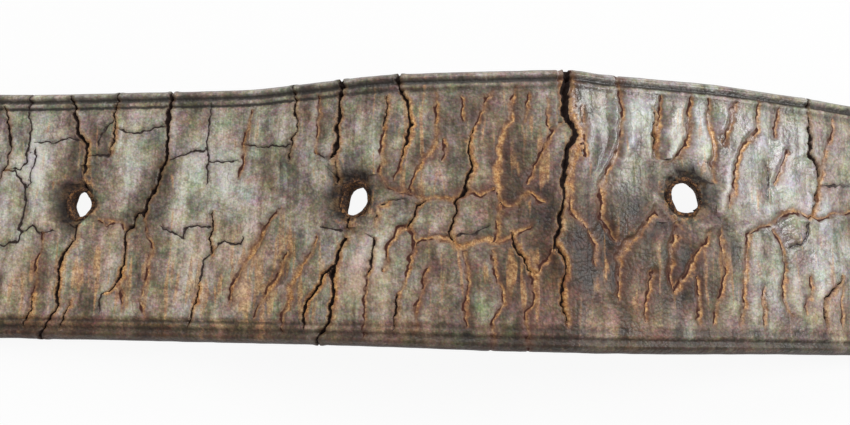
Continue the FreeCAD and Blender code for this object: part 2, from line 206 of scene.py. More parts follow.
# %% Round the corners
line_step = 0.2 * mm


def rounded_line(corners):
    """Points along straight runs and tangent arcs, from corners given as (x, z, radius)."""
    points = [np.array(corners[0][:2])]
    for before, corner, after in zip(corners, corners[1:], corners[2:]):
        here = np.array(corner[:2])
        back = np.array(before[:2]) - here
        ahead = np.array(after[:2]) - here
        back /= np.linalg.norm(back)
        ahead /= np.linalg.norm(ahead)
        half_turn = (math.pi - math.acos(np.clip(back @ ahead, -1, 1))) / 2
        to_centre = (back + ahead) / np.linalg.norm(back + ahead)
        centre = here + to_centre * corner[2] / math.cos(half_turn)
        first = here + back * corner[2] * math.tan(half_turn) - centre
        last = here + ahead * corner[2] * math.tan(half_turn) - centre
        points += arc_points(centre, first, last)
    return points + [np.array(corners[-1][:2])]


def arc_points(centre, first, last):
    """Points on the shorter arc between two arms that reach out from a centre."""
    turn = math.atan2(first[0] * last[1] - first[1] * last[0], first @ last)
    count = max(2, round(abs(turn) * np.linalg.norm(first) / line_step))
    angles = np.linspace(0, turn, count + 1)
    side = np.array([-first[1], first[0]])
    return [centre + first * math.cos(a) + side * math.sin(a) for a in angles]


def touching_arm(outside, side):
    """The arm from the heel bar's centre to where a line from outside touches the fold."""
    reach = np.array([outside[0] - heel.x, outside[1] - heel.z])
    spread = math.acos(bar_loop_radius / np.linalg.norm(reach))
    angle = math.atan2(reach[1], reach[0]) + side * spread
    return bar_loop_radius * np.array([math.cos(angle), math.sin(angle)])


# %% Join up the flesh line
bar_centre = np.array([heel.x, heel.z])
arm_down = touching_arm(lower_corners[-1], -1)
arm_up = touching_arm(upper_corners[0], 1)
behind = np.array([-bar_loop_radius, 0])
flesh_line = (
    rounded_line(lower_corners + [(*(bar_centre + arm_down), 0)])
    + arc_points(bar_centre, arm_down, behind)[1:]
    + arc_points(bar_centre, behind, arm_up)[1:]
    + rounded_line([(*(bar_centre + arm_up), 0)] + upper_corners)[1:]
)
print(f"{len(flesh_line)} points on the line")

# %% [markdown]
# ## Bending the flat strap
# A point of the flat strap has a distance along the flesh side, a distance across, and a height
# over the flesh side. Bending puts it at that height, square to the line. The leather is thinner
# round the bar and at the folded-back end, where it was skived.

# %% Measure the line
def measured(line):
    """A line's points without repeats, the distance to each, and the heading of each run."""
    line = np.array(line)
    line = line[np.append(True, np.linalg.norm(np.diff(line, axis=0), axis=1) > 1e-7)]
    runs = np.diff(line, axis=0)
    marks = np.append(0, np.cumsum(np.linalg.norm(runs, axis=1)))
    return line, marks, np.unwrap(np.arctan2(runs[:, 1], runs[:, 0]))


def follow(along, line, marks, headings):
    """The places at distances along a measured line, and the way to its left there."""
    places = np.column_stack([np.interp(along, marks, line[:, i]) for i in (0, 1)])
    heading = np.interp(along, (marks[1:] + marks[:-1]) / 2, headings)
    return places, np.column_stack((-np.sin(heading), np.cos(heading)))


flesh_line, marks, headings = measured(flesh_line)
strap_length = marks[-1]
fold_mark = marks[np.argmin(flesh_line[:, 0])]
top_run = marks > fold_mark


def along_at(x):
    """How far along the line its upper run passes a place."""
    return float(np.interp(x, flesh_line[top_run, 0], marks[top_run]))


fold_end = along_at(heel.x + pinch)
print(f"flat, the strap is {strap_length / mm:.0f} mm long, folded at {fold_mark / mm:.0f} mm")

# %% Bend what is flat
end_skive = 10.0 * mm
fold_skive = 7.0 * mm
ridge_corner = 3
ridge_x = middle_hole["foot"].x + arch_corners[ridge_corner][0] * mm
arch_swell = 0.035
swell_reach = 38 * mm


def thickness_at(along):
    """How thick the leather is, with its skived stretches."""
    places = [0, end_skive, fold_end, fold_end + fold_skive]
    values = [turnback_end_thickness, fold_thickness, fold_thickness, strap_thickness]
    return np.interp(along, places, values)


def bend(flat):
    """Moves flat points (along, across, height over the flesh side) to the bent strap."""
    along, across, height = flat.T
    places, left = follow(along, flesh_line, marks, headings)
    places = places + left * (height * thickness_at(along) / strap_thickness)[:, None]
    swell = 1 + arch_swell * np.exp(-(((places[:, 0] - ridge_x) / swell_reach) ** 2))
    return np.column_stack((places[:, 0], across * swell, places[:, 1]))


print(f"the strap swells by {arch_swell:.1%} at its ridge, at x = {ridge_x / mm:.0f} mm")

# %% [markdown]
# ## Cutting the strap flat
# The blank is one sheet of square cells. Cells are split where a cut needs them finer, the cells
# outside a cut are deleted, and the ragged edge that this leaves is moved onto the cut's line. The
# same three steps make the tip, the prong's slot and the holes.

# %% The outlines to cut
cell = 3.6 * mm
tip_taper_radius = 40.0 * mm
tip_nose_radius = 5.0 * mm
slot_length = 20.0 * mm
slot_width = 7.0 * mm


def strap_outline():
    """The flat strap's outline, anticlockwise. Each side of the tip is two arcs that meet."""
    nose, taper = tip_nose_radius, tip_taper_radius
    nose_x = strap_length - nose
    rise = half_width - taper
    run = math.sqrt((taper - nose) ** 2 - rise**2)
    meet = math.atan2(-rise, run)
    side = [(nose_x + nose * math.cos(a), nose * math.sin(a)) for a in np.linspace(0, meet, 8)]
    for a in np.linspace(meet, math.pi / 2, 24)[1:]:
        side.append((nose_x - run + taper * math.cos(a), rise + taper * math.sin(a)))
    side.append((0, half_width))
    mirrored = [(x, -y) for x, y in reversed(side)]
    return np.array(side + mirrored[:-1])


def slot_outline():
    """The prong's slot, from one side of the fold to the other, with round ends."""
    reach = slot_length - slot_width / 2
    end = along_at(heel.x + reach)
    angles = np.linspace(-math.pi / 2, math.pi / 2, 13)
    cap = np.column_stack((np.cos(angles), np.sin(angles))) * slot_width / 2
    return np.vstack((cap + (end, 0), (2 * fold_mark - end, 0) - cap))


outer = strap_outline()
slot = slot_outline()
print(f"{len(outer)} corners round the strap, and {len(slot)} round the prong's slot")

# %% Holes dragged out of round
# The prong has dragged the most used holes out of round and out of square. In mm: shift and
# radius, along and across, how far the lower mouth leads, along and across, and then which way
# the upper one is worn, in degrees.
dragged_holes = {
    1: (0.6, -0.9, 2.4, 2.6, 1.2, -0.1, 50),
    2: (-0.7, -0.6, 2.2, 2.6, 0.0, -0.7, 130),
    3: (-0.9, 0.0, 2.1, 2.4, -0.2, 0.4, 180),
}
lower_mouth_spread = 0.2
mouth_points = 40
unevenness = 0.12 * mm
dice = np.random.default_rng(7)


def ring(centre, radii, raggedness):
    """A closed oval outline with an uneven edge."""
    angles = np.linspace(0, math.tau, len(raggedness), endpoint=False)
    arms = np.array(radii) + raggedness[:, None]
    return np.array(centre) + np.column_stack((np.cos(angles), np.sin(angles))) * arms


hole_outlines = []
for i, hole in enumerate(holes):
    if i not in dragged_holes:
        dragged_holes[i] = (0, 0, hole_radius / mm, hole_radius / mm, 0, 0, 60 * i)
    shift_x, shift_y, *radii = dragged_holes[i][:4]
    centre = (along_at(hole["foot"].x) + shift_x * mm, hole["foot"].y + shift_y * mm)
    raggedness = unevenness * np.convolve(dice.normal(size=mouth_points), np.ones(3) / 2, "same")
    hole_outlines.append(ring(centre, np.array(radii) * mm, raggedness))
print(len(hole_outlines), "holes to cut")


# %% Distance to a line
def nearest(points, line, closed=False):
    """Signed distance of flat points to a line, left of it positive, with the nearest place,
    the line's left side there and how far along it that is."""
    line = np.asarray(line)
    starts = line if closed else line[:-1]
    ends = np.roll(line, -1, axis=0) if closed else line[1:]
    found = np.full(len(points), np.inf)
    gap = np.zeros(len(points))
    place = np.zeros((len(points), 2))
    left = np.zeros((len(points), 2))
    share = np.zeros(len(points))
    travelled = np.append(0, np.cumsum(np.linalg.norm(ends - starts, axis=1)))
    for i, (start, end) in enumerate(zip(starts, ends)):
        run = end - start
        along = np.clip((points - start) @ run / (run @ run), 0, 1)
        foot = start + along[:, None] * run
        offset = points - foot
        distance = np.hypot(*offset.T)
        side = run[0] * offset[:, 1] - run[1] * offset[:, 0]
        closer = distance < found
        found[closer] = distance[closer]
        gap[closer] = np.where(side[closer] < 0, -distance[closer], distance[closer])
        place[closer] = foot[closer]
        left[closer] = np.array([-run[1], run[0]]) / np.linalg.norm(run)
        share[closer] = (travelled[i] + along[closer] * np.linalg.norm(run)) / travelled[-1]
    return gap, place, left, share


def gap_to(points, outline):
    """How far flat points are from a closed outline."""
    return np.abs(nearest(points[:, :2], outline, closed=True)[0])


# %% Helpers for sheets
def coordinates(verts):
    """The places of a bmesh's points, one row for each."""
    return np.array([vert.co for vert in verts])


def move(bm, places):
    """Puts all the points of a bmesh at new places."""
    for vert, place in zip(bm.verts, places):
        vert.co = place


def flat_sheet(length, width, cell):
    """A flat sheet of square cells that starts at zero and runs along x."""
    bm = bmesh.new()
    rows, lines = round(length / cell), round(width / cell)
    bmesh.ops.create_grid(bm, x_segments=rows, y_segments=lines, size=0.5)
    bmesh.ops.scale(bm, verts=bm.verts, vec=(length, width, 1))
    bmesh.ops.translate(bm, verts=bm.verts, vec=(length / 2, 0, 0))
    return bm


def thicken(bm, thickness):
    """Extrudes a sheet upwards."""
    made = bmesh.ops.extrude_face_region(bm, geom=bm.faces[:])["geom"]
    raised = [item for item in made if isinstance(item, bmesh.types.BMVert)]
    bmesh.ops.translate(bm, verts=raised, vec=(0, 0, thickness))


# %% Split and cut
snap_reach = 1.2 * mm


def refine(bm, wanted, passes=5):
    """Halves every edge that is much longer than wanted near its middle, again and again."""
    for _ in range(passes):
        edges = list(bm.edges)
        ends = np.array([(*edge.verts[0].co, *edge.verts[1].co) for edge in edges])
        lengths = np.linalg.norm(ends[:, :3] - ends[:, 3:], axis=1)
        goal = wanted((ends[:, :3] + ends[:, 3:]) / 2, lengths / 2)
        long_ones = [edges[i] for i in np.flatnonzero(lengths > 1.4 * goal)]
        if not long_ones:
            return
        bmesh.ops.subdivide_edges(bm, edges=long_ones, cuts=1, use_grid_fill=True)


def cut_out(bm, outline, keep_inside):
    """Deletes the faces on one side of a closed outline and moves the ragged edge onto it."""
    centres = np.array([face.calc_center_median() for face in bm.faces])
    inside = nearest(centres[:, :2], outline, closed=True)[0] > 0
    doomed = [face for face, is_in in zip(bm.faces, inside) if is_in != keep_inside]
    bmesh.ops.delete(bm, geom=doomed, context="FACES")
    edge_verts = [vert for vert in bm.verts if vert.is_boundary]
    gap, place = nearest(coordinates(edge_verts)[:, :2], outline, closed=True)[:2]
    for vert, distance, target in zip(edge_verts, gap, place):
        if abs(distance) < snap_reach:
            vert.co.xy = target


# %% Cut the blank
hole_cell = 0.45 * mm
cut_cell = 0.9 * mm
beside_cut = 1.0 * mm
tip_length = 45 * mm
fold_length = 14 * mm


def cutting_cells(points, reach):
    """Fine cells within reach of each cut, and whole ones elsewhere."""
    wanted = np.full(len(points), cell)
    for outline in hole_outlines:
        wanted[gap_to(points, outline) < beside_cut + reach] = hole_cell
    wanted[gap_to(points, slot) < beside_cut + reach] = cut_cell
    at_tip = points[:, 0] > strap_length - tip_length
    wanted[at_tip & (gap_to(points, outer) < beside_cut + reach)] = cut_cell
    wanted[np.abs(points[:, 0] - fold_mark) < fold_length] = cut_cell
    return wanted


blank = flat_sheet(strap_length, 2 * half_width, cell)
refine(blank, cutting_cells)
cut_out(blank, outer, keep_inside=True)
cut_out(blank, slot, keep_inside=False)
for outline in hole_outlines:
    cut_out(blank, outline, keep_inside=False)
print(f"the flat blank has {len(blank.faces)} faces")

# %% [markdown]
# ## Where the leather has split
# Dry bridle leather cracks across the strap, because it was bent along it. Each crack is a route
# given as places in mm towards the tip from the middle hole's mouth, and in mm across from the
# centre line. A split is open and dark. A tear has its pale, rusty fibres showing. A crease is a
# fold that hasn't opened yet.

# %% Routes of the splits
splits = [
    (0.35, (-66.8, 19.5), (-66.2, 17.5), (-65.6, 14.6), (-64.9, 13.4), (-65, 8.2), (-66.2, 6)),
    (0.30, (-57.7, -15), (-57.9, -17), (-58.3, -18.6), (-58.8, -20.3)),
    (0.64, (-53.9, 20.9), (-53.2, 19.5), (-53.3, 18), (-52.6, 16.8), (-52, 15.4), (-51.6, 14.2),
     (-50.9, 13.1), (-50.3, 12.6), (-50.1, 10), (-49.9, 7.5), (-49.9, 4.6), (-49.7, 2.9)),
    (0.60, (-50.8, -2.4), (-50.9, -4.5), (-51, -6), (-51.9, -6.7), (-52.7, -7.8), (-53.1, -9.8),
     (-53, -12), (-53.2, -14.8), (-53.2, -17), (-54.1, -18.8), (-54.9, -20.2), (-55.5, -21.8)),
    (0.25, (-50.5, -16), (-51.4, -18.6), (-52.4, -20.5)),
    (0.25, (-45, 22), (-45.1, 20), (-45.4, 17.8), (-45.1, 15.6), (-45.2, 13), (-45.6, 11)),
    (0.74, (-35, 21.8), (-35.1, 19), (-35.2, 16), (-35, 14.5), (-35.1, 11.5), (-35.4, 9.4),
     (-35.9, 7.6), (-36.6, 5.8), (-37.4, 3.6), (-38.1, 2), (-38.3, 0.6), (-38.2, -0.6)),
    (0.42, (-38.3, 0.1), (-39.3, -0.3), (-40.1, -1), (-40.6, -2.4), (-41.4, -3.2), (-41.7, -4.4),
     (-41.5, -5.4), (-41.6, -8), (-41.9, -10), (-42.3, -12), (-43, -13.8), (-44, -14.5)),
    (0.25, (-12.3, 21.5), (-11.7, 20.5), (-11.6, 18), (-11.3, 15.6), (-11.1, 14), (-11.6, 12.5),
     (-11.6, 11), (-12.1, 9.5), (-12.2, 8.7)),
    (0.30, (-26, 0), (-26, -1.6), (-25.7, -3.2), (-25.9, -5), (-25.7, -7)),
    (0.28, (-27.3, -13), (-27.6, -14.6), (-28.2, -16.5), (-28.6, -18.2), (-28.9, -19.4)),
    (0.68, (-3.2, 22.3), (-3.3, 20), (-3.6, 17.5), (-3.9, 15), (-4.1, 13.5), (-3.7, 12),
     (-3.7, 9.5), (-4.5, 8), (-4, 6), (-3.5, 4.6)),
    (0.55, (-1.2, -2.2), (-1.2, -4), (-1.3, -5.5), (-2.4, -7), (-3, -9), (-3.5, -11),
     (-3.4, -13.5), (-3.4, -16), (-3.9, -18.5), (-4.7, -20.2), (-5.8, -21.6)),
    (0.42, (-3.6, -10.2), (-4.5, -10.8), (-5.3, -11.3), (-6.1, -13), (-6.9, -14.3), (-7.8, -15),
     (-8.2, -16.5), (-8.6, -18.2), (-8.5, -20.2)),
    (0.22, (5.1, 18.5), (4.8, 16.5), (4.3, 13.5)),
    (0.42, (6.6, 22.3), (6.5, 21), (6.8, 19.8), (7.6, 18.6), (8, 17), (8.4, 15.2), (8.7, 13.8),
     (8.2, 12), (7.8, 10), (7.4, 8.4)),
    (0.28, (5.2, 0.5), (4, -0.1), (3.5, -2), (3.6, -3.5), (3.2, -5), (3, -7), (2.6, -9),
     (2.3, -11)),
    (0.25, (11.3, 1), (10.3, 0.2), (9.6, -1), (9.4, -2.3), (8.7, -3.2)),
    (0.26, (7.3, -14.8), (7, -17), (6.9, -20.2)),
    (0.40, (19, 12.3), (18.4, 10.4), (18.6, 9), (19, 7), (18.5, 5), (18, 3), (16.8, 1.8),
     (16.1, 0.6), (16.6, -1), (16.1, -3), (15.3, -4), (15.9, -5.5)),
    (0.26, (25.4, -4.8), (25.9, -6.5), (27, -8.4), (28.4, -10.8)),
    (1.25, (34.4, 27), (34.4, 20.5), (34, 18.5), (33.9, 16), (34.2, 14)),
    (1.15, (34.4, 22.4), (34.5, 20.5), (34.1, 18.5), (34, 16), (34.3, 14.4), (35.3, 13.2),
     (35.6, 12), (34.8, 10.5), (34, 9), (33.7, 6), (33.5, 3)),
    (0.56, (33.5, 3), (33.3, 0), (33, -2), (32.8, -3.5), (32.4, -5), (32.3, -7)),
    (0.28, (32.4, -6), (33.2, -8), (33.6, -10), (33.3, -12.5), (33.1, -15), (33.5, -17),
     (33.9, -19)),
    (0.22, (49.3, 17), (49.4, 14), (49.7, 11)),
    (0.52, (79, 22), (78.7, 19.5), (78.6, 17), (78.5, 14), (78.1, 11.7), (79.3, 11), (80, 9.8),
     (80.1, 7.5), (79.9, 6), (79.4, 4), (78.6, 2), (78.1, 0.6)),
    (0.30, (83.5, -9.5), (82, -11), (80.5, -12.5), (79.6, -13.2), (79.6, -15), (79.7, -18)),
]
print(len(splits), "splits")

# %% Routes of the tears
tears = [
    (0.40, (-57, -3.9), (-57.1, -5.4), (-56.8, -6.6), (-57.3, -8.5), (-57.7, -10.5), (-57.8, -13),
     (-57.7, -15.2)),
    (0.45, (-47.3, -0.9), (-46.3, -1.6), (-45.2, -2.4), (-43.8, -2), (-42.8, -1.9), (-42, -3)),
    (0.35, (-38.1, -0.5), (-37.8, -2), (-37.5, -4.2), (-36.8, -5.8), (-36.4, -7.5), (-36.6, -9.5),
     (-37, -12), (-37.6, -14), (-37.7, -16), (-37.2, -18)),
    (0.30, (-41.7, -11), (-41.4, -14), (-41.2, -17.5)),
    (0.45, (-20, 18), (-20.1, 16.2), (-20.7, 14.5), (-21, 12.5), (-20.8, 10.5), (-20.7, 9),
     (-21.2, 8), (-21.7, 6.2)),
    (0.35, (-7.6, 19.6), (-7.1, 17.8), (-6.9, 16.5), (-7.4, 15), (-7.3, 12.6), (-7.4, 11),
     (-7.2, 9.8)),
    (0.85, (-13.5, 0.2), (-15, -1.5), (-16.3, -3.4), (-17.1, -5.3), (-18.1, -7.2), (-19.5, -9.5),
     (-20.8, -11.5), (-21.6, -13.5), (-21.9, -16)),
    (0.75, (-12.2, -7.5), (-13, -9), (-13.5, -11), (-14.2, -12.8), (-15.3, -13.4), (-15.9, -14.5),
     (-16.6, -16.5), (-16.8, -18)),
    (0.90, (-6.7, -4.7), (-7.2, -6), (-8.2, -8), (-9.4, -10.4), (-10.4, -12.2), (-11.2, -14.2),
     (-11.5, -16), (-12.3, -18), (-12.4, -20.3)),
    (0.60, (4.7, 13.4), (4.1, 11), (3.9, 9), (4.2, 7), (3.5, 5)),
    (0.55, (7.5, 9.2), (7.3, 8), (6.8, 6.3), (6.2, 4.8)),
    (0.85, (12.6, 19), (12.8, 17), (12.9, 14), (12.9, 12), (12.6, 10), (11.5, 8.6), (10.4, 7.8),
     (10.2, 6.3), (9.4, 5), (8.8, 3), (9.6, 2)),
    (0.85, (4.8, 2.8), (8.5, 2.3), (10, 1.6), (11.5, 1.2), (13.5, 1.1), (16, 1.3), (17.2, 2),
     (18.6, 2.2), (20.2, 1.7), (21.6, 2.2), (22.8, 2.6)),
    (0.80, (23, 2.4), (23.3, 1), (24, 0), (26, -0.3), (27, 1.2), (28.2, 1.7), (29.2, 1.4),
     (30.2, 0.6)),
    (0.75, (22, 19.3), (21, 18), (20.3, 16.3), (19.8, 14.5), (19, 12.3)),
    (0.95, (26, 19.5), (25.6, 17.5), (25, 14), (24, 13), (23.6, 11), (23.2, 8), (22.8, 5),
     (23.3, 2), (23.3, -1.5), (22.8, -4.5), (22.6, -6)),
    (0.90, (10, -6), (12, -5.8), (14, -5.4), (15.6, -5.8), (16.5, -6.8), (18, -7), (19.5, -6.2),
     (21, -5.8), (22.6, -6), (24.5, -5.6), (26, -5), (27.4, -4), (28.4, -3.4)),
    (0.45, (2.3, -11), (2.2, -13), (1.9, -15), (1.8, -17), (2.1, -19.5), (1.8, -21)),
    (0.70, (8.7, -3.2), (7.5, -3.6), (6.4, -4.5), (5.7, -6), (5.3, -8), (5, -10.5)),
    (0.60, (8.7, -3.4), (9.3, -5), (9.5, -7), (9, -9), (8.6, -11), (8.3, -13), (7.3, -14.8)),
    (0.55, (12, -10.5), (11.3, -13), (10.6, -15), (10.2, -18), (10.1, -20.3)),
    (0.60, (17.8, -7.4), (18.1, -9), (18.3, -12), (18.4, -14.5), (18, -16.5), (18.2, -19.4)),
    (0.50, (22.4, -7.6), (22.8, -10), (23.2, -12.5), (24.2, -14), (24, -15.5), (23, -17.2),
     (22.4, -19), (22.2, -21.2)),
    (0.45, (28.4, -10.8), (28.8, -12.5), (28.8, -14), (28.5, -16), (27.6, -17.3), (27.6, -19.5),
     (28, -21.8)),
    (0.90, (35.3, 22), (35.5, 20), (35.2, 17.5), (35.2, 15.5), (36.4, 13.4), (36.6, 11.6),
     (35.8, 9.6), (35, 7), (34.7, 4), (34.5, 1), (34.9, -1), (36, -2.4), (37.4, -3)),
    (0.50, (32, -7.2), (31, -8.5), (29.8, -10), (29, -11.4)),
    (0.55, (32.6, -6), (33.4, -8), (33.8, -10), (33.5, -12.5), (33.3, -15), (33.7, -17),
     (34.1, -19.4)),
    (0.90, (33, 26), (33.2, 20.5), (33.2, 18.5), (33, 16.5)),
    (0.55, (33, 13.8), (31.8, 13), (31.5, 11), (30, 8.5), (28.8, 6.5), (28.2, 4)),
    (0.75, (43.4, 21.5), (43.6, 19.5), (44, 17.5), (43.8, 15), (43.4, 12), (43, 10), (42, 8),
     (41.2, 6.5), (40.4, 4), (40, 1), (40.2, -1), (41, -3), (42.4, -5)),
    (0.85, (50.2, 1), (49, -0.5), (47.8, -2.5), (46.5, -4), (44.5, -5.3), (43.6, -6.5), (43, -8),
     (42.9, -10), (42.8, -12.5), (42.4, -14.4)),
    (0.55, (50.8, 19.5), (50.5, 17), (49.8, 13), (49.8, 9)),
    (0.75, (56, 20), (55.7, 17), (55.8, 14), (55.3, 12), (54.2, 10.3), (52.9, 9.2)),
    (0.80, (52.8, -2), (52.3, -4), (52, -6), (51.6, -8), (51.4, -11), (52, -13)),
    (0.75, (58.5, -3), (57.5, -5), (56, -7), (55, -9), (54, -11), (52.5, -13)),
    (0.60, (55.8, -11), (56.2, -13), (56.4, -18)),
    (0.55, (48.5, -10), (48, -12), (47.2, -15), (46.8, -18)),
    (0.95, (59.6, 19.5), (59.3, 16.5), (59.9, 14), (60.4, 12), (59.8, 9), (59.7, 6)),
    (0.80, (64.4, 19.5), (63.8, 18.5), (63.3, 16.5), (62.6, 14.5), (62.2, 12.5)),
    (0.75, (69, 20.5), (68.8, 18), (68.5, 15.5), (67.5, 13.8), (66.2, 12.6), (65, 11), (64.4, 9),
     (64.2, 7), (63.6, 5), (63, 3), (62.4, 1.2)),
    (0.35, (72.6, 19.5), (72.2, 17), (71.9, 14.5)),
    (0.45, (74.2, 12), (73.5, 10), (72.5, 8), (71.5, 6.4)),
    (0.85, (84, 18.5), (83.4, 16), (82.3, 13), (81.4, 10), (80.7, 7), (80.2, 4.4), (79, 1.6)),
    (0.45, (65.9, -3), (66.8, -2.5), (68.5, -1.7), (70.2, -1.1), (72, -0.3), (73, 0.9),
     (74.2, 1.4), (75.5, 1.1), (77.5, 0.8), (80, 0.3), (81.5, 1.1), (83.5, 1.6), (88, 2.8)),
    (0.80, (65.9, -3), (65.4, -5), (65.2, -8), (64.8, -11), (64.2, -14), (63.7, -18)),
    (0.70, (61, -3), (61.2, -6), (61, -10), (60.3, -13), (59.5, -16), (59, -18.2)),
    (0.40, (70.4, -2), (71, -3), (72, -4), (72.4, -5), (72.5, -7), (73, -9), (72.4, -11),
     (71.9, -13.5), (72.1, -15), (72.9, -16.4)),
    (0.55, (77.4, -10), (77.1, -12), (76, -15.5)),
    (0.50, (27.9, 18.4), (27.8, 16.2), (27.6, 14)),
    (0.45, (30.9, 17.8), (31.1, 15.5), (31.2, 13.2)),
    (0.45, (17.2, 18), (17.1, 16.2), (17.2, 14.4)),
    (0.50, (14.2, 10.8), (14.4, 9.2), (14.2, 7.8)),
    (0.55, (37, 16.5), (37.3, 14), (37, 11), (37.3, 8.5)),
    (0.60, (38.2, -4), (38.9, -6), (39, -9)),
    (0.50, (68.2, -12), (68, -15), (68.1, -18)),
    (0.45, (83.8, -11), (83.4, -14), (83.6, -17.5)),
]
print(len(tears), "tears")

# %% Routes of the creases
creases = [
    (0.30, (-62.1, 22), (-61.9, 18), (-61.3, 14.4), (-61, 13.4), (-61.3, 11), (-61.6, 9),
     (-62.6, 7.9), (-63.8, 8)),
    (0.40, (-65.2, 7.6), (-63.7, 7.5), (-62.6, 6.6), (-61.6, 5.4), (-61.1, 3.4), (-61.2, 0),
     (-61.4, -2.5), (-61.3, -4), (-61.8, -5.2), (-63, -5.6), (-64.7, -6)),
    (0.22, (-59.9, 11.5), (-60.1, 8), (-60.3, 5.2), (-61.1, 4.8)),
    (0.25, (-61.2, -3.6), (-60.2, -3.5), (-59, -2.6), (-58.4, -3.2), (-57.6, -3.9), (-55, -3.7)),
    (0.22, (-59.8, 12.9), (-58.7, 12.8), (-57.6, 13.2), (-56.2, 12.8), (-54.8, 12.9),
     (-53.5, 13.4), (-51.2, 13.3)),
    (0.22, (-45.6, 11), (-46, 10.3), (-47.5, 10.6), (-49.6, 10.2)),
    (0.22, (-45.6, 17), (-46.6, 15.8), (-47.5, 14.2), (-48.1, 12)),
    (0.22, (-45, 15.2), (-42, 14.7), (-39, 14.6), (-37, 15), (-35.4, 15.6)),
    (0.22, (-44, -14.5), (-45, -15), (-45.2, -17.4)),
    (0.24, (-34.5, 9.2), (-32.5, 9.9), (-30.5, 10.6), (-28.6, 11), (-27.6, 11.3)),
    (0.24, (-27.5, 19.5), (-27.5, 17), (-27.9, 13), (-27.5, 11.2), (-27.3, 9.5), (-27.3, 5)),
    (0.20, (-27.3, 9.2), (-25.5, 9), (-23.5, 9), (-21.6, 9.4)),
    (0.24, (-21, 12.2), (-19.5, 11.8), (-17.5, 11.6), (-15, 11.4), (-12.8, 11.1), (-11.8, 11.2)),
    (0.20, (-7.2, 9.8), (-6, 8.6), (-4.8, 7.6)),
    (0.26, (-25.6, -6.9), (-24.7, -5.9), (-23.3, -5.2), (-22.2, -5.7), (-20.3, -5.6), (-20, -4.5)),
    (0.24, (-35.4, -2.9), (-33.5, -3.3), (-31.8, -3.8), (-30.5, -4.8), (-30.4, -2.8),
     (-28.5, -2.3), (-27.2, -2.8), (-26, -2.6)),
    (0.26, (-25.9, -7.3), (-26.8, -9), (-27.3, -11), (-27.3, -13)),
    (0.22, (-6, -3), (-3.8, -3.2), (-2.6, -3.9), (-1.6, -4.4)),
    (0.20, (5.2, 0.5), (6.2, 1), (7.6, 1.1)),
    (0.24, (12.6, -4.9), (16.5, -5), (19, -4.9), (20.5, -3.9), (21.8, -3.2)),
    (0.22, (80.3, 6.2), (83, 6.7), (87, 7.3)),
    (0.40, (77.7, -0.6), (77, -2), (76, -4), (74, -4.6)),
    (0.20, (70.2, 9), (70.3, 6), (69.8, 3.6)),
]
print(len(creases), "creases")

# %% [markdown]
# Beyond the stretch that the camera sees, nobody can tell one crack from another. They are grown
# there with dice, from the edges inwards, so that the whole strap has aged alike.

# %% Cracks further along
def grown_crack(x, y_start, y_end):
    """A wandering route across the strap, with a place about every 2 mm."""
    count = max(3, round(abs(y_end - y_start) / 2))
    xs = x + np.cumsum(dice.normal(0, 0.5, count))
    return (dice.uniform(0.25, 0.75), *zip(xs, np.linspace(y_start, y_end, count)))


unseen_stretches = ((-318, -76), (94, 158))
edge_y = 22
further_splits, further_tears = [], []
for start, end in unseen_stretches:
    x = start
    while x < end:
        edge = dice.choice((-edge_y, edge_y))
        further_splits.append(grown_crack(x, edge, edge * dice.uniform(-0.1, 0.55)))
        inner = dice.uniform(-14, 14)
        further_tears.append(grown_crack(x + dice.uniform(3, 7), inner - 6, inner + 6))
        x += dice.uniform(7, 16)
print(len(further_splits), "more splits and", len(further_tears), "more tears further along")

# %% [markdown]
# ## Measuring from the cracks
# A line drawn through a few places is too smooth for a crack. So the places asked about are moved
# a little by noise before their distance to the line is measured, which makes every crack ragged
# alike in its shape and in its colours. A crack is widest at its middle and runs out at its ends.

# %% Lay the routes on the strap
near_edge_y = (edge_y - 1) * mm
past_edge_scale = (1, 24 / edge_y)


def route_line(places):
    """A route in the frame's x and y. One that comes near the strap's edge runs on over it."""
    line = np.array(places) * mm + (middle_mouth.x, 0)
    if abs(line[0, 1]) > near_edge_y:
        line = np.vstack((line[:1] * past_edge_scale, line))
    if abs(line[-1, 1]) > near_edge_y:
        line = np.vstack((line, line[-1:] * past_edge_scale))
    return line


longest = max(np.ptp(route_line(split[1:])[:, 1]) for split in splits)
print(f"the longest split crosses {longest / mm:.0f} mm of the strap's width")


# %% Make the lines ragged
def lumps(spots, size_x, size_y, seed):
    """Smooth noise about zero at places in x and y, in lumps of the given size."""
    return np.array([noise.noise((x, y, seed)) for x, y in spots[:, :2] / (size_x, size_y)])


def ragged(spots):
    """The places moved about a little, so that a straight route looks torn."""
    moved = spots[:, :2].copy()
    for sway, size, seed in ((0.55 * mm, 2.4 * mm, 11.3), (0.36 * mm, 0.8 * mm, 31.7)):
        for axis in (0, 1):
            moved[:, axis] += sway * lumps(spots, size, size, seed + axis)
    return moved


mouths = np.array([hole["foot"][:] for hole in holes])
sways = np.linalg.norm(ragged(mouths) - mouths[:, :2], axis=1)
print("at the holes the noise moves a line by", np.round(sways / mm, 2), "mm")

# %% Gaps to the lines
crack_reach = 2.5 * mm


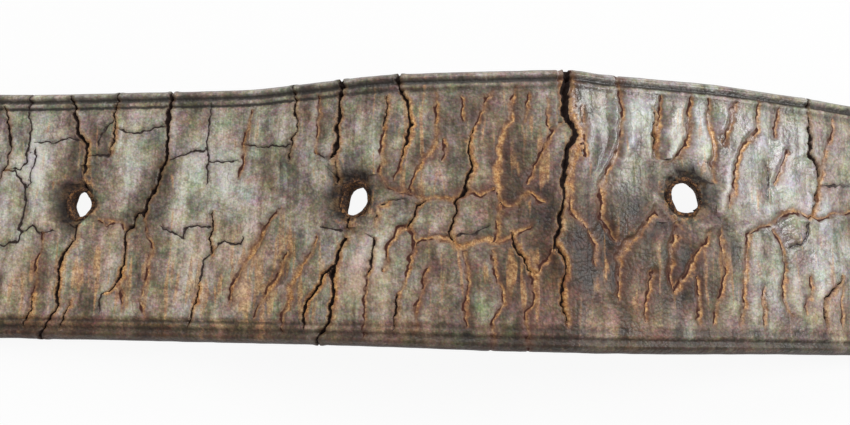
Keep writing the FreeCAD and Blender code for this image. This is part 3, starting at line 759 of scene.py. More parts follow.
def gaps_to(spots, routes):
    """For each place its signed and plain distance to the nearest route, and half the route's
    width there."""
    signed = np.full(len(spots), crack_reach)
    plain = np.full(len(spots), crack_reach)
    half = np.zeros(len(spots))
    for width, *places in routes:
        line = route_line(places)
        above_low = np.all(spots > line.min(0) - crack_reach, axis=1)
        below_high = np.all(spots < line.max(0) + crack_reach, axis=1)
        rows = np.flatnonzero(above_low & below_high)
        if not len(rows):
            continue
        gap, _, _, share = nearest(spots[rows], line)
        taper = 0.45 + 0.55 * np.sin(np.pi * np.clip(share, 0.02, 0.98)) ** 0.6
        room = width * mm / 2 * taper
        closer = np.abs(gap) - room < plain[rows] - half[rows]
        rows, gap, room = rows[closer], gap[closer], room[closer]
        signed[rows] = gap
        plain[rows] = np.abs(gap)
        half[rows] = room
    return signed, plain, half


# %% [markdown]
# ## Thickness and fine cells
# Extruding the flat blank gives it its flesh side and all its walls at once, those of the holes
# too. Then the grain side is split into cells small enough to carve, and smaller ones still along
# each crack. The flesh side stays coarse, because little of it is ever seen.

# %% Extrude and refine
# The stretch that the camera sees, in mm from the middle hole's mouth.
seen_from, seen_to = -69, 90
seen_start = along_at(middle_mouth.x + seen_from * mm)
seen_end = along_at(middle_mouth.x + seen_to * mm)
seen_cell = 0.45 * mm
further_cell = 0.9 * mm
wall_cell = 1.1 * mm
plain_cell = 1.8 * mm
hair = 0.05 * mm

thicken(blank, strap_thickness)
bmesh.ops.recalc_face_normals(blank, faces=blank.faces)


def worn_cells(points, reach):
    """Small cells on the worn grain side, smallest beside its cracks."""
    wanted = np.full(len(points), cell)
    grain = points[:, 2] > hair
    wanted[grain] = plain_cell
    wall = grain & (points[:, 2] < strap_thickness - hair)
    wanted[wall] = wall_cell
    seen = grain & (points[:, 0] > seen_start) & (points[:, 0] < seen_end)
    wanted[seen] = seen_cell
    rows = np.flatnonzero(seen)
    spots = ragged(bend(points[rows]))
    for routes, beside in ((splits, 0.45 * mm), (tears, 0.25 * mm), (creases, 0.3 * mm)):
        _, plain, half = gaps_to(spots, routes)
        wanted[rows[plain - half < beside + reach[rows] / 2]] = seen_cell / 2
    rows = np.flatnonzero(grain & ~seen)
    spots = ragged(bend(points[rows]))
    _, plain, half = gaps_to(spots, further_splits)
    wanted[rows[plain - half < 0.4 * mm + reach[rows] / 2]] = further_cell
    return wanted


refine(blank, worn_cells, passes=6)
print(f"{len(blank.verts)} points and {len(blank.faces)} faces")

# %% [markdown]
# ## Round the edges and bend the strap
# The edges were rubbed round, or burnished, so the square corners of the block are pushed onto
# quarter circles while the strap is still flat. Then it is bent along its line.

# %% How a measure fades
def bump(gap, width):
    """1 on a line and 0 away from it, falling off smoothly over width."""
    return np.exp(-((gap / width) ** 2))


def beside(gap, width):
    """1 as far as an edge, falling off smoothly beyond it."""
    return bump(np.clip(gap, 0, None), width)


def ramp(values, start, end, least=0.0):
    """Rises from 0 at start to 1 at end, but is never under least."""
    return np.clip((values - start) / (end - start), least, 1)


# %% Burnish the edges
edge_radius = 1.7 * mm


def burnished(flat, edge_gap, inward, thickness, radius):
    """Rounds a block's edges: flat points, their distance from the outline and the way in."""
    over = np.clip(radius - edge_gap, 0, None)
    above = np.clip(flat[:, 2] - (thickness - radius), 0, None)
    below = np.clip(radius - flat[:, 2], 0, None)
    rise = np.maximum(above, below)
    square = np.maximum(over, rise)
    diagonal = np.maximum(np.hypot(over, rise), 1e-9)
    round_off = np.where((over > 0) & (rise > 0), square / diagonal, 1)
    moved = flat.copy()
    moved[:, :2] += inward * (over * (1 - round_off))[:, None]
    moved[:, 2] -= above * (1 - round_off)
    moved[:, 2] += below * (1 - round_off)
    return moved


flat = coordinates(blank.verts)
edge_gap, _, inward, _ = nearest(flat[:, :2], outer, closed=True)
edge_gap = np.clip(edge_gap, 0, None)
worn = burnished(flat, edge_gap, inward, strap_thickness, edge_radius)
print(f"rounding moved points by up to {np.abs(worn - flat).max() / mm:.2f} mm")

# %% Drag the mouths of the holes and bend
mouth_reach = 2 * mm
gaps_to_holes = [gap_to(flat, outline) for outline in hole_outlines]
hole_gap = np.min(gaps_to_holes, axis=0)
for i, outline in enumerate(hole_outlines):
    lower_mouth = bump(gaps_to_holes[i], mouth_reach) * (1 - flat[:, 2] / strap_thickness)
    worn[:, :2] += lower_mouth[:, None] * np.array(dragged_holes[i][4:6]) * mm
    worn[:, :2] += (lower_mouth_spread * lower_mouth)[:, None] * (flat[:, :2] - outline.mean(0))
bent = bend(worn)
move(blank, bent)
blank.normal_update()
print(f"the bent strap rises to {bent[:, 2].max() / mm:.1f} mm")

# %% [markdown]
# ## Carving the wear
# Every point now moves along its normal. Creased lines sink beside the edges, hole mouths are worn
# open, plates of leather lift where they end at a crack, and the cracks themselves go deep. The
# measured distances are kept on the mesh, because the leather's colours follow the same lines.

# %% Follow the cracks
flow_reach = 7 * mm
flow_core = 2.2 * mm


def crack_flow(spots):
    """Each place's x as if the cracks about it ran straight across the strap."""
    loose = 1 / flow_reach**3
    total = spots[:, 0] * loose
    weights = np.full(len(spots), loose)
    for _, *places in splits + tears + further_splits:
        line = route_line(places)
        if np.ptp(line[:, 0]) > 0.6 * np.ptp(line[:, 1]):
            continue
        x, y = line[np.argsort(line[:, 1])].T
        off = spots[:, 0] - np.interp(spots[:, 1], y, x)
        past = np.abs(spots[:, 1] - np.clip(spots[:, 1], y[0], y[-1]))
        weight = (off**2 + 3 * past**2 + flow_core**2) ** -1.5
        total += weight * (x.mean() + off)
        weights += weight
    return total / weights


top = flat[:, 2] / strap_thickness
on_grain = top > 0.99
on_wall = (top > 0.01) & ~on_grain
spots = ragged(bent)
flow = np.column_stack((crack_flow(spots), spots[:, 1]))
from_mouth = (bent[:, :2] - (middle_mouth.x, 0)) / mm
split_signed, split_plain, split_half = gaps_to(spots, splits + further_splits)
tear_signed, tear_plain, tear_half = gaps_to(spots, tears + further_tears)
fold_signed, fold_plain, fold_half = gaps_to(spots, creases)
split_gap = split_plain - split_half
tear_gap = tear_plain - tear_half
seen = (from_mouth[:, 0] > seen_from) & (from_mouth[:, 0] < seen_to)
slack = np.where(seen, 0.25 * mm, 1.3 * mm)
print(f"cracks shift the flow by up to {np.abs(flow[:, 0] - spots[:, 0]).max() / mm:.1f} mm")


# %% Mouths of the holes and seats of the rivets
def groove(plain, half, soften):
    """1 along the middle of a crack, and 0 from its edges on."""
    return np.clip(1 - (plain / (half + soften)) ** 2, 0, 1)


def soft_spots(listed):
    """Sums soft spots at every point. A spot is x, y and its reach both ways in mm, and then
    one strength or more."""
    total = 0
    for x, y, reach_x, reach_y, *strengths in listed:
        fall = ((from_mouth[:, 0] - x) / reach_x) ** 2 + ((from_mouth[:, 1] - y) / reach_y) ** 2
        total = total + np.exp(-fall)[:, None] * np.array(strengths)
    return total


mouth = np.zeros(len(flat))
for i, outline in enumerate(hole_outlines):
    arm = flat[:, :2] - outline.mean(0)
    leaning = np.cos(np.arctan2(arm[:, 1], arm[:, 0]) - math.radians(dragged_holes[i][6]))
    reach = (2.5 + 2.1 * np.clip(leaning, -0.5, 1) + 0.8 * lumps(bent, 2 * mm, 2 * mm, 6.5)) * mm
    fall = gaps_to_holes[i] / np.clip(reach, 0.5 * mm, None)
    mouth = np.maximum(mouth, np.clip(1 - fall, 0, 1))

rivet_head_radius = 4.6 * mm
rivet_spots = [(heel.x + x * mm, y * mm) for x in (25.4, 68.2) for y in (-13, 13)]
rivet_gap = np.full(len(flat), 1.0)
for x, y in rivet_spots:
    gap = np.hypot(bent[:, 0] - x, bent[:, 1] - y) - rivet_head_radius
    rivet_gap = np.minimum(rivet_gap, np.where(bent[:, 2] > heel.z, gap, 1.0))
print(f"{(mouth > 0).sum()} points in the mouths, {(rivet_gap < 0).sum()} under the rivets")

# %% [markdown]
# The height to carve is a sum of small ones. Four sizes of lumps give the surface its life, from
# long swells to pits. Wrinkles are strongest where the strap was folded most. Then come the lips
# and floors of the cracks, the edge's bead and pressed lines, and the worn mouths.

# %% Swells, plates and wrinkles
folded = 0.45 + soft_spots([
    # towards the tip, across, reach each way, strength
    (52, 2, 13, 18, 1.3),
    (-15, -8, 8, 10, 0.5),
    (24, 2, 9, 14, 0.4),
    (-58, 2, 6, 10, 0.4),
])[:, 0]
swells = 0.45 * mm * lumps(flow, 11 * mm, 8 * mm, 1.5)
plates = 0.26 * mm * lumps(flow, 3.4 * mm, 6.5 * mm, 2.5)
wrinkles = 0.40 * mm * folded * lumps(flow, 2.3 * mm, 8.0 * mm, 3.5)
pits = 0.07 * mm * lumps(bent, 0.9 * mm, 0.9 * mm, 4.5)
inland = ramp(edge_gap, 2.5 * mm, 5.5 * mm, least=0.15)
height = (swells + plates + wrinkles + pits) * inland
print(f"the surface rolls by {np.ptp(height) / mm:.1f} mm from its lowest to its highest")

# %% Cracks and pressed lines
crease_insets = (1.9 * mm, 3.3 * mm)

# A split has raised lips, and a floor that is deeper where the split is wider.
height += 0.16 * mm * bump(split_gap - 0.35 * mm, 0.45 * mm)
height -= (0.40 * mm + 1.5 * split_half) * groove(split_plain, 0.8 * split_half, 0.10 * mm)

# A tear lies in a hollow, with a wrinkle standing up on one side. A crease is only pressed in.
height -= 0.20 * mm * folded * bump(tear_gap, 0.7 * mm) * inland
height += 0.28 * mm * folded * bump(tear_signed + 1.0 * mm, 0.40 * mm) * inland
height -= (0.10 * mm + 0.20 * tear_half) * groove(tear_plain, tear_half, 0.20 * mm)
height -= 0.22 * mm * groove(fold_plain, fold_half, 0.14 * mm)

second_line = -0.30 * mm * ramp(from_mouth[:, 0], 40, 0, least=0.4)
for inset, rise, width in (
    # across the edge: a bead, a pressed line, a ridge and the second pressed line
    (1.0 * mm, 0.16 * mm, 0.7 * mm),
    (crease_insets[0], -0.55 * mm, 0.32 * mm),
    (2.7 * mm, 0.12 * mm, 0.45 * mm),
    (crease_insets[1], second_line, 0.26 * mm),
):
    height += rise * bump(edge_gap - inset, width) * on_grain
print(f"the deepest crack goes {-height.min() / mm:.1f} mm into the leather")

# %% Worn mouths and flat seats
# Mouths are worn down, and a rivet's head has pressed a ring round its flat seat. Walls are
# carved only a little, and not at all in the holes. The flesh side isn't carved.
height -= 1.3 * mm * mouth**1.1 * on_grain
height = np.where(rivet_gap < 0, 0, height)
height -= 0.35 * mm * beside(rivet_gap, 2.0 * mm) * (rivet_gap > 0) * on_grain
height[on_wall] = np.clip(height[on_wall], -0.3 * mm, 0.12 * mm)
height[top < 0.01] = 0
height *= np.where(on_wall, ramp(hole_gap, 0, 1.5 * mm), 1)

normals = np.array([vert.normal for vert in blank.verts])
carved = bent + normals * height[:, None]
carved[:, 2] = np.maximum(carved[:, 2], cad_low.z)
move(blank, carved)
print(f"the deepest carving is {-height.min() / mm:.2f} mm")

# %% [markdown]
# ## Stains, rust, dirt and painted light
# Grease, sweat and handling have left the grain side uneven in tone. Pale bloom lies on the dry
# plates, the middle of the fold is dark and reddish, rusty fibres show through in streaks, and
# dirt sits in the mouths of the holes, darkened further as painted shade. A few pale spots paint a
# sheen, and painted highlights lie on high wrinkles and along the edge. Each stain is a soft spot,
# placed from the middle hole.

# %% Place the stains
stains = [
    # towards the tip, across, reach each way, tone from -1 dark to 1 pale, warmth
    (-63, -6, 5, 10, 0.55, 0.1),
    (-60, 12, 5, 6, 0.45, 0.0),
    (-54, 5, 3, 9, -0.60, 0.1),
    (-48, 16, 4, 5, -0.30, 0.0),
    (-46, -8, 4, 7, 0.50, 0.1),
    (-41, 11, 4, 6, 0.50, 0.0),
    (-40, 1, 4, 4, -0.45, 0.0),
    # These pale spots paint the sheen of a polished bulge over its pale tone.
    (-30, 14, 4, 5, 0.60, 0.0),
    (-28, 5, 5, 6, 0.80, -0.1),
    (-21, 5, 4, 5, 0.95, -0.1),
    (-29, -7, 6, 7, 0.85, 0.2),
    (-21, -9, 4, 7, 0.45, 0.2),
    (-13, 4, 6, 9, -0.15, -0.1),
    (-1, -12, 6, 6, 0.35, 0.2),
    (3, -8, 3, 4, 0.45, 0.0),
    (16, -12, 4, 5, 0.15, 0.0),
    (24, 8, 6, 9, -0.45, 0.3),
    (27, 3, 4, 6, -0.45, 0.3),
    (23, -8, 6, 8, -0.40, 0.2),
    (38, 15, 5, 9, -0.15, -0.6),
    (50, 16, 8, 6, 0.35, -0.6),
    (43, 6, 4, 5, 0.30, -0.6),
    (34, -9, 5, 10, -0.80, 0.3),
    (46, -9, 8, 9, -1.00, 0.2),
    (58, -8, 5, 9, -0.90, 0.2),
    (43, -1, 6, 4, -0.45, 0.0),
    (64, 11, 5, 9, 0.20, -0.4),
    (74, 11, 8, 9, 0.60, -0.5),
    (81, -5, 7, 7, 0.80, -0.6),
    (1, -1, 4, 4, -0.50, 0.1),
    (-66, 10, 3, 7, -0.60, 0.0),
    (-60, 7, 3, 4, 0.90, 0.0),
    (-60, -6, 3, 4, 0.40, 0.0),
    (-54, 15, 3, 5, 0.30, 0.0),
    (-48, 12, 3, 7, -0.35, 0.0),
    (-42, 10, 3, 5, 0.40, 0.0),
    (-36, 5, 3, 5, -0.90, 0.0),
    (-36, -12, 3, 4, -0.30, 0.0),
    (-2, -2, 6, 4, -0.35, 0.0),
    (0, -13, 3, 4, 0.60, 0.0),
    (4.5, -14.5, 3, 3, 1.00, 0.0),
    (3, 16, 7, 5, -0.40, 0.0),
    (22, 16, 10, 6, -0.35, 0.1),
    (24, -13, 9, 4, -0.35, 0.0),
    (24, 0, 12, 18, -0.20, 0.1),
    (36, 17, 3, 4, -0.30, 0.0),
    (36, -6, 4, 10, -0.25, 0.0),
    (60, 17, 4, 4, 0.40, 0.0),
    (66, 10, 3, 5, -0.30, 0.0),
    (76, -8, 6, 4, -0.35, 0.0),
    (40, -12, 8, 5, -0.30, 0.0),
    (70, -9, 5, 7, 0.40, -0.3),
    (70, 1, 7, 3, -0.20, -0.3),
    (15, 6, 17, 13, 0.0, 0.1),
    (41, -7, 7, 12, -0.1, 0.6),
    (-40, -8, 30, 8, 0.0, 0.15),
]
print(len(stains), "stains")

# %% Place the rust
rusting = [
    # towards the tip, across, reach each way, strength
    (-60, -13, 7, 5, 0.8),
    (-46, -12, 8, 6, 0.8),
    (-32, -14, 6, 5, 1.0),
    (-19, -12, 7, 7, 1.1),
    (-7, -13, 8, 7, 0.9),
    (-48, 12, 5, 8, 0.4),
    (-20, 14, 4, 5, 0.5),
    (-5, 10, 4, 8, 0.4),
    (8, 13, 5, 6, 0.6),
    (7, 3, 6, 4, 0.7),
    (18, 10, 8, 8, 0.6),
    (29, 11, 4, 8, 0.9),
    (14, -12, 8, 7, 0.6),
    (28, -12, 6, 7, 0.7),
    (37, 3, 4, 12, 0.4),
    (46, -12, 9, 6, 0.5),
    (62, -10, 7, 7, 0.7),
    (56, 13, 10, 6, 0.4),
    (68, 6, 6, 8, 0.3),
    (77, -8, 7, 8, 0.4),
]
print(len(rusting), "rusty places")

# %% Tone and warmth
tone = 0.3 * lumps(bent, 9 * mm, 9 * mm, 21.5) + 0.6 * lumps(flow, 2.4 * mm, 5 * mm, 22.5)
warmth = 0.4 * lumps(bent, 7 * mm, 9 * mm, 23.5) - 0.1
warmth -= 0.25 * np.clip(bent[:, 1] / half_width, -1, 1)
stained_tone, stained_warmth = soft_spots(stains).T
tone += stained_tone + 0.35 * (wrinkles + pits) / (0.12 * mm)
warmth = np.clip(warmth, -0.1, None) + stained_warmth

# The lips of the splits are paler. On the upper, folded side a painted highlight lies along the
# wrinkle beside each tear.
tone += 0.25 * bump(split_gap - 0.7 * mm, 0.6 * mm)
painted_highlight_side = ramp(bent[:, 1], -2.5 * mm, 2.5 * mm) * ramp(folded, 0.5, 1.5)
tone += 1.1 * painted_highlight_side * bump(tear_signed + 1.3 * mm, 0.5 * mm)

# The margins are darker, and the lower one darker still, partly as painted shade on the side that
# faces away from the light. Their ridges carry a painted highlight line, and the upper bead is
# paler, partly as painted light on the side that faces it. Both grow towards the tip.
near_edge = ramp(edge_gap, 4.2 * mm, 3.6 * mm)
dark_and_shaded_low_side = near_edge * ramp(bent[:, 1], 0, -2 * mm)
pale_and_lit_high_bead = ramp(edge_gap, 1.6 * mm, 1.2 * mm) * (near_edge - dark_and_shaded_low_side)
towards_tip = ramp(from_mouth[:, 0], -20, 40)
tone += -0.45 * near_edge - 0.20 * dark_and_shaded_low_side
tone += 0.35 * dark_and_shaded_low_side * bump(from_mouth[:, 0] + 8, 20)
# a painted highlight line along the ridge between the pressed lines
tone += (0.1 + 0.5 * towards_tip) * bump(edge_gap - 2.7 * mm, 0.2 * mm)
tone += (0.25 + 0.2 * towards_tip) * pale_and_lit_high_bead
warmth += 0.5 * dark_and_shaded_low_side * (1 - towards_tip) - 0.2 * pale_and_lit_high_bead
print(f"tone from {tone.min():.1f} to {tone.max():.1f}")

# %% Rust, dirt and painted shade
rust = np.clip(soft_spots(rusting)[:, 0], 0, 1.3) * ramp(edge_gap, 3.4 * mm, 4.2 * mm, least=0.15)
rust += np.where(seen, 0, 0.45) + 1.2 * bump(mouth - 0.12, 0.1)
# The worn mouths of the holes are darkened, as painted shade in their funnels as well as dirt.
dirt = 1.2 * np.clip(3.0 * mouth - 0.35, 0, 1)
# The lower rounded edge is darkened more, as painted shade on the side away from the light, over its dark colour.
dirt += 0.40 * dark_and_shaded_low_side * ramp(edge_gap, 1.7 * mm, 1.3 * mm)
# Beside the splits, tears and creases the darkening is painted shade along the cracks, with dirt. Round each rivet
# head it is a dark ring.
for gap, share, width in (
    (split_gap, 0.5, 0.6 * mm),
    (tear_gap, 0.22, 0.9 * mm),
    (fold_plain - fold_half, 0.35, 0.4 * mm),
    (rivet_gap, 0.8, 0.9 * mm),
):
    dirt += share * beside(gap, width)
dirt = np.clip(dirt, 0, 1)
print(f"dirt on {(dirt > 0.5).mean():.0%} of the points")


# %% Finish a piece
def finished(bm, name, body, material, node):
    """Makes an object of a bmesh that rides on a body and stands for a CAD node."""
    mesh = bpy.data.meshes.new(name)
    bm.to_mesh(mesh)
    bm.free()
    mesh.shade_smooth()
    mesh.materials.append(material)
    piece = placed(name, mesh)
    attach(piece, body)
    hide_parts(node)
    triangles = sum(len(face.vertices) - 2 for face in mesh.polygons)
    print(f"{name}: {triangles} triangles")
    return piece


def keep_on_mesh(mesh, name, *columns):
    """Stores up to three numbers for each point, lengths in mm, for a material to read."""
    columns = list(columns) + [np.zeros(len(mesh.vertices))] * (3 - len(columns))
    stored = mesh.attributes.new(name, "FLOAT_VECTOR", "POINT")
    stored.data.foreach_set("vector", np.column_stack(columns).astype(np.float32).ravel())


# %% [markdown]
# ## Materials
# A material is a tree of shader nodes. One small function adds a node with its settings and links,
# and one turns written colours into the linear ones that the shader needs.

# %% Helpers for materials
def linear(code):
    """An sRGB hex colour as linear red, green, blue and alpha."""
    parts = [int(code[i:i + 2], 16) / 255 for i in (1, 3, 5)]
    return (*[c / 12.92 if c <= 0.04045 else ((c + 0.055) / 1.055) ** 2.4 for c in parts], 1)


def add(tree, kind, inputs=None, **settings):
    """Adds a node. An input's value is a number, a colour, a node or one of its outputs."""
    node = tree.nodes.new("ShaderNode" + kind)
    for i, (at, code) in enumerate(settings.pop("stops", ())):
        elements = node.color_ramp.elements
        element = elements[i] if i < len(elements) else elements.new(at)
        element.position = at
        element.color = linear(code)
    for name, value in settings.items():
        setattr(node, name, value)
    for key, value in (inputs or {}).items():
        if isinstance(value, bpy.types.Node):
            value = value.outputs[0]
        if isinstance(value, bpy.types.NodeSocket):
            tree.links.new(value, node.inputs[key])
        else:
            node.inputs[key].default_value = value
    return node


def new_material(name):
    material = bpy.data.materials.new(name)
    material.use_nodes = True
    material.node_tree.nodes.clear()
    return material


# %% [markdown]
# ## Old bridle leather
# Bridle leather is vegetable-tanned cowhide, dyed brown and filled with grease, with a smooth
# grain side. Age takes the grease out, so the grain turns grey-brown and matt, with pale bloom,
# fine specks of dirt and a little shine left on the high places. Where it is torn the undyed
# fibres show, rusty orange. Deep inside a split it is painted nearly black, as painted shade. Shade
# in the worn mouths of the holes and beside the cracks is painted in with the dirt there, and
# painted highlights lie on the wrinkle beside a tear and along the edge. The strap and the keepers
# share this leather. It is made in steps below, which are put together at the end.

# %% Read the stored measures
def stored(tree, name):
    """The three numbers that a mesh attribute keeps."""
    kept = add(tree, "Attribute", attribute_name=name)
    return add(tree, "SeparateXYZ", {0: kept.outputs["Vector"]}).outputs


def line_mask(tree, name, full, none, width=1.0, shift=0.0, ragged=0.4):
    """1 within full mm of the edges of the lines that an attribute measures, and 0 past none mm.
    Width scales the lines' own width, and shift moves them sideways."""
    signed, plain, half = stored(tree, name)
    moved = add(tree, "Math", {0: signed, 1: shift}, operation="ADD")
    off = add(tree, "Math", {0: moved}, operation="ABSOLUTE")
    gap = add(tree, "Math", {0: off, 1: plain}, operation="MAXIMUM")
    past_edge = add(tree, "Math", {0: half, 1: -width, 2: gap}, operation="MULTIPLY_ADD")
    place = add(tree, "TexCoord").outputs["Object"]
    fray = add(tree, "TexNoise", {"Vector": place, "Scale": 1 / (1.1 * mm), "Detail": 2.5})
    frayed = add(tree, "Math", {0: fray, 1: -ragged, 2: past_edge}, operation="MULTIPLY_ADD")
    levels = {"Value": frayed, "From Min": none - ragged / 2, "From Max": full - ragged / 2}
    return add(tree, "MapRange", levels, interpolation_type="SMOOTHSTEP")


# %% Patterns of the leather
def leather_patterns(tree):
    """The measures that a piece keeps, and the noises that all of its layers share."""
    place = add(tree, "TexCoord").outputs["Object"]
    drawn = {"Rotation": (0, 0, math.radians(9)), "Scale": (1 / mm, 0.09 / mm, 1 / mm)}
    drawn_out = add(tree, "Mapping", {"Vector": place, **drawn})
    skin = SimpleNamespace(place=place)
    # The darkening read here is dirt together with painted shade.
    skin.paler, skin.warmer, skin.dirty = stored(tree, "wear_and_light")
    skin.edge_gap, skin.hole_gap, skin.top = stored(tree, "edge")
    skin.rust = stored(tree, "flow")[2]
    skin.tear_width = stored(tree, "tear")[2]
    skin.flow = add(tree, "Attribute", attribute_name="flow").outputs["Vector"]
    for name, laid_on, size, settings in (
        # what it looks like, and the size of its grains, in mm where they are drawn out
        ("cloudy", place, 6 * mm, {"Detail": 4.0}),
        ("jitter", place, 2.5 * mm, {"Detail": 2.0}),
        ("mottled", place, 1.6 * mm, {"Detail": 3.0, "Roughness": 0.6}),
        ("pebbles", place, 0.7 * mm, {"Detail": 2.0}),
        ("specks", place, 0.3 * mm, {"Detail": 1.5}),
        ("streaks", drawn_out, 1.1, {"Detail": 1.5, "Distortion": 0.5}),
        ("threads", drawn_out, 0.5, {"Detail": 1.0}),
    ):
        noise_of_it = add(tree, "TexNoise", {"Vector": laid_on, "Scale": 1 / size, **settings})
        setattr(skin, name, noise_of_it)
    skin.pores = add(tree, "TexVoronoi", {"Vector": place, "Scale": 1 / (0.55 * mm)})
    return skin


# %% Where the wear shows
range_inputs = ("Value", "From Min", "From Max", "To Min", "To Max")


def mark_wear(tree, skin):
    """Masks that fade from one strength to another as a measure or a noise passes two values."""
    along, across, _ = add(tree, "SeparateXYZ", {0: skin.place}).outputs
    middle_x = middle_mouth.x
    for name, reads, start, end, at_start, at_end in (
        # the mask, what it reads, the two values, and its strength at each
        ("warm", skin.warmer, 0.0, 0.8, 0, 1),
        ("cool", skin.warmer, 0.0, -0.6, 0, 1),
        ("ruddy", skin.mottled, 0.50, 0.40, 0, 0.6),
        ("veins", skin.threads, 0.60, 0.72, 0, 0.2),
        ("caked", skin.pebbles, 0.35, 0.55, 0.82, 1),
        ("wall", skin.top, 1.0, 0.8, 0, 0.85),
        ("suede", skin.top, 0.3, 0.02, 0, 1),
        ("in_hole", skin.hole_gap, 0.3, 0.05, 0, 0.97),
        ("round_hole", skin.hole_gap, 0.2, 0.5, 0, 1),
        ("lip", skin.hole_gap, 2.6, 0.6, 0, 0.75),
        ("torn", skin.mottled, 0.47, 0.57, 0, 1),
        ("lower", across, 5 * mm, -5 * mm, 0.9, 0.5),
        ("faded", along, middle_x - 10 * mm, middle_x + 15 * mm, 1, 0.35),
        ("some", skin.cloudy, 0.50, 0.60, 0, 0.3),
        ("patchy", skin.cloudy, 0.36, 0.50, 0.55, 1),
        ("inland", skin.edge_gap, 1.0, 4.0, 0.15, 1),
        ("vivid", skin.rust, 0.1, 0.6, 0.65, 1),
        ("gappy", skin.jitter, 0.40, 0.52, 0.4, 1),
        ("broken", skin.jitter, 0.40, 0.50, 0.15, 1),
        ("gaping", skin.tear_width, 0.36, 0.46, 0, 0.85),
        ("polished", skin.cloudy, 0.3, 0.7, 0.42, 0.6),
    ):
        levels = dict(zip(range_inputs, (reads, start, end, at_start, at_end)))
        setattr(skin, name, add(tree, "MapRange", levels))


def lay_over(tree, skin, base, layers):
    """Lays colours over a base. A layer has a name, its mask, what the mask is multiplied with,
    and its colour."""
    for name, mask, shares, colour in layers:
        for share in shares:
            mask = add(tree, "Math", {0: mask, 1: share}, operation="MULTIPLY", use_clamp=True)
        setattr(skin, name, mask)
        if isinstance(colour, str):
            colour = linear(colour)
        base = add(tree, "MixRGB", {0: mask, 1: base, 2: colour})
    return base


# %% [markdown]
# The grain's colour is one number, its tone, run through a ramp from dark grease to pale bloom.
# Noises from clouds down to grit are added to that number, each with a small share, because real
# leather is uneven at every scale. Hue varies too, in patches and in single grains.

# %% Colour of the grain
def grain_colour(tree, skin):
    """Dry grain, uneven in tone and hue, with dark pores and fine grit."""
    tone = add(tree, "Math", {0: skin.paler, 1: 0.25, 2: -0.22}, operation="MULTIPLY_ADD")
    for layer, share in (
        (skin.cloudy, 0.45),
        (skin.mottled, 0.45),
        (skin.pebbles, 0.30),
        (skin.streaks, 0.36),
        (skin.threads, 0.1),
        (skin.pores, -0.12),
    ):
        tone = add(tree, "Math", {0: layer, 1: share, 2: tone}, operation="MULTIPLY_ADD")
    grit = add(tree, "Math", {0: skin.specks, 1: 0.5}, operation="SUBTRACT")
    grit = add(tree, "Math", {0: grit, 1: tone}, operation="MULTIPLY")
    tone = add(tree, "Math", {0: grit, 1: 0.4, 2: tone}, operation="MULTIPLY_ADD")
    base = add(tree, "ValToRGB", {0: tone}, stops=(
        (0.06, "#2e241c"),
        (0.3, "#594a3b"),
        (0.5, "#857765"),
        (0.66, "#aca08e"),
        (0.92, "#dcd7c9"),
    ))
    for size, share in ((3.0, 0.5), (0.4, 0.6)):
        hues = {"Vector": skin.place, "Scale": 1 / (size * mm), "Detail": 2.0}
        hues = add(tree, "TexNoise", hues).outputs["Color"]
        base = add(tree, "MixRGB", {0: share, 1: base, 2: hues}, blend_type="SOFT_LIGHT")
    for mask, tint in ((skin.warm, "#f0c7a6"), (skin.cool, "#e8f1ff")):
        tinted = add(tree, "MixRGB", {0: 1.0, 1: base, 2: linear(tint)}, blend_type="MULTIPLY")
        base = add(tree, "MixRGB", {0: mask, 1: base, 2: tinted})
    return base


# %% Rust, dirt and bare leather
def weathered(tree, skin, base):
    """Rusty streaks, veins, and grime darkened further by painted shade on the grain, and then the
    leather that has no grain: walls, the flesh side, and the frayed insides and lips of the holes."""
    tangled = add(tree, "MixRGB", {0: 0.5, 1: skin.pebbles, 2: skin.specks})
    undyed = ((0.36, "#945f38"), (0.49, "#c88e52"), (0.6, "#e6b97c"))
    undyed = add(tree, "ValToRGB", {0: tangled}, stops=undyed)
    skin.fibres = add(tree, "MixRGB", {0: skin.ruddy, 1: undyed, 2: linear("#824c38")})
    nap = ((0.3, "#4c3626"), (0.5, "#7a5b42"), (0.7, "#a58465"))
    nap = add(tree, "ValToRGB", {0: skin.pebbles}, stops=nap)
    greasy = ((0.38, "#20140e"), (0.5, "#4a3021"), (0.62, "#94693f"))
    greasy = add(tree, "ValToRGB", {0: tangled}, stops=greasy)
    rusty = add(tree, "Math", {0: skin.rust, 1: 0.24, 2: skin.streaks}, operation="MULTIPLY_ADD")
    rusty = {"Value": rusty, "From Min": 0.76, "From Max": 0.86, "To Max": 0.6}
    rusty = add(tree, "MapRange", rusty)
    # Fibres show less on the lips where dirt and painted shade darken them.
    clean = add(tree, "Math", {0: skin.dirty, 1: -0.75, 2: 1.0}, operation="MULTIPLY_ADD")
    return lay_over(tree, skin, base, (
        ("rusty", rusty, (), skin.fibres),
        ("veins", skin.veins, (), "#463028"),
        # dark brown where dirt lies and where shade is painted: in the mouths, beside the cracks and on the lower
        # edge
        ("caked", skin.caked, (skin.dirty,), "#1e120c"),
        ("wall", skin.wall, (), "#38241b"),
        ("suede", skin.suede, (), nap),
        ("in_hole", skin.in_hole, (), greasy),
        ("lip", skin.lip, (skin.torn, skin.round_hole, clean), skin.fibres),
    ))


# %% Pressed lines
def pressed_lines(tree, skin, base):
    """Darkens the two pressed lines. The inner line fades towards the tip, and the lower ones are
    fainter than the upper ones."""
    faint = add(tree, "Math", {0: skin.faded, 1: skin.lower}, operation="MULTIPLY")
    for inset, half, depth in zip(crease_insets, (0.7, 0.36), (skin.lower, faint)):
        wavy = {0: skin.mottled, 1: 0.6, 2: skin.edge_gap}
        wavy = add(tree, "Math", wavy, operation="MULTIPLY_ADD")
        off = add(tree, "Math", {0: wavy, 1: inset / mm + 0.3}, operation="SUBTRACT")
        off = add(tree, "Math", {0: off}, operation="ABSOLUTE")
        line = add(tree, "MapRange", {"Value": off, "From Min": half, "From Max": half * 0.35})
        line = add(tree, "Math", {0: line, 1: depth}, operation="MULTIPLY")
        base = add(tree, "MixRGB", {0: line, 1: base, 2: linear("#1f1a15")})
    return base
